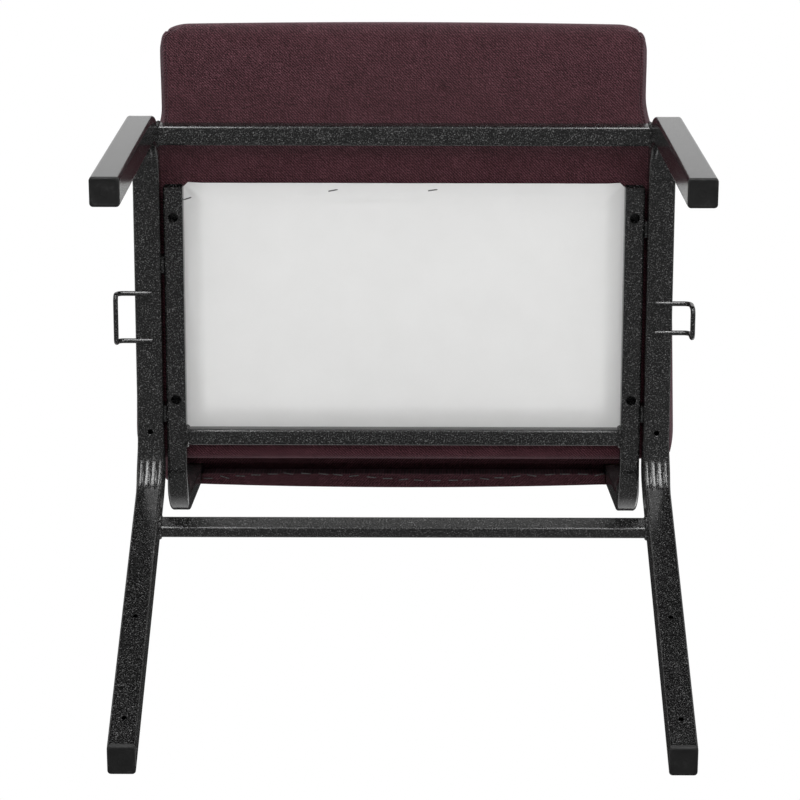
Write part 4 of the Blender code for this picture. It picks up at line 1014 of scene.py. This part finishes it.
def makeCeiling():
    # a dark ceiling with a pale band over the front legs, seen in reflections alone
    x = np.array([-1, 1, 1, -1]) * ceiling["half"]
    y = np.array([ceiling["front"], ceiling["front"], ceiling["rear"], ceiling["rear"]])
    mesh = bpy.data.meshes.new("ceiling")
    mesh.from_pydata(np.stack([x, y, np.full(4, ceiling["level"])], axis=1).tolist(), [], [(3, 2, 1, 0)])
    material, tree, _ = newMaterial("ceiling")
    along = addNode(tree, "ShaderNodeSeparateXYZ", {"Vector": objectPlace(tree)}).outputs["Y"]
    dark, pale = grey(ceiling["dark"]), grey(ceiling["pale"])
    share = spread(tree, along, *ceiling["band"], 0, 1)
    band = ramp(tree, share, [(0, dark), (0.3, pale), (0.8, pale), (1, dark)])
    glow = addNode(tree, "ShaderNodeEmission", {"Color": band, "Strength": 1.0})
    tree.links.new(glow.outputs[0], tree.nodes["Material Output"].inputs["Surface"])
    mesh.materials.append(material)
    panel = addObject("ceiling", mesh)
    for way in ("camera", "diffuse", "shadow", "transmission"):
        setattr(panel, "visible_" + way, False)


def makeLamp(name, lamp):
    # a rectangle that faces the middle of the chair
    data = bpy.data.lights.new(name + "Lamp", "AREA")
    data.shape = "RECTANGLE"
    data.energy = lamp["power"]
    data.size, data.size_y = lamp["size"]
    light = addObject(name + "Lamp", data)
    ahead = unit(studio["aim"] - np.array(lamp["place"]))
    right = unit(np.cross(ahead, [0.0, 0.0, 1.0]))
    light.matrix_world = placed(right, np.cross(right, ahead), -ahead, lamp["place"])
    light.visible_camera = False
    light.visible_diffuse = lamp.get("only") != "glossy"
    light.visible_glossy = lamp.get("only") != "diffuse"


def makeWorld():
    # white where the camera and reflections look, duller in them below the horizon, and soft as a light
    world = bpy.data.worlds.new("studio")
    bpy.context.scene.world = world
    world.use_nodes = True
    tree = world.node_tree
    soft = tree.nodes["Background"]
    soft.inputs["Strength"].default_value = studio["ambient"]
    soft.inputs["Color"].default_value = (1, 1, 1, 1)
    white = addNode(tree, "ShaderNodeBackground", {"Color": (1, 1, 1, 1), "Strength": 1.0})
    ray = addNode(tree, "ShaderNodeLightPath").outputs
    sky = addNode(tree, "ShaderNodeTexCoord").outputs["Generated"]
    height = addNode(tree, "ShaderNodeSeparateXYZ", {"Vector": sky}).outputs["Z"]
    overhead = spread(tree, height, -studio["horizon"], studio["horizon"], studio["dull"], 1.0)
    mirrored = calc(tree, "MULTIPLY", ray["Is Glossy Ray"], overhead)
    through = calc(tree, "MAXIMUM", mirrored, ray["Is Transmission Ray"])
    seen = calc(tree, "MAXIMUM", ray["Is Camera Ray"], through)
    mix = addNode(tree, "ShaderNodeMixShader", {0: seen, 1: soft.outputs[0], 2: white.outputs[0]})
    tree.links.new(mix.outputs[0], tree.nodes["World Output"].inputs["Surface"])


makeCamera()
makeFloor()
makeCeiling()
for lampName, lampValues in lamps.items():
    makeLamp(lampName, lampValues)
makeWorld()
bpy.context.scene.view_settings.view_transform = "Standard"

bpy.context.view_layer.update()
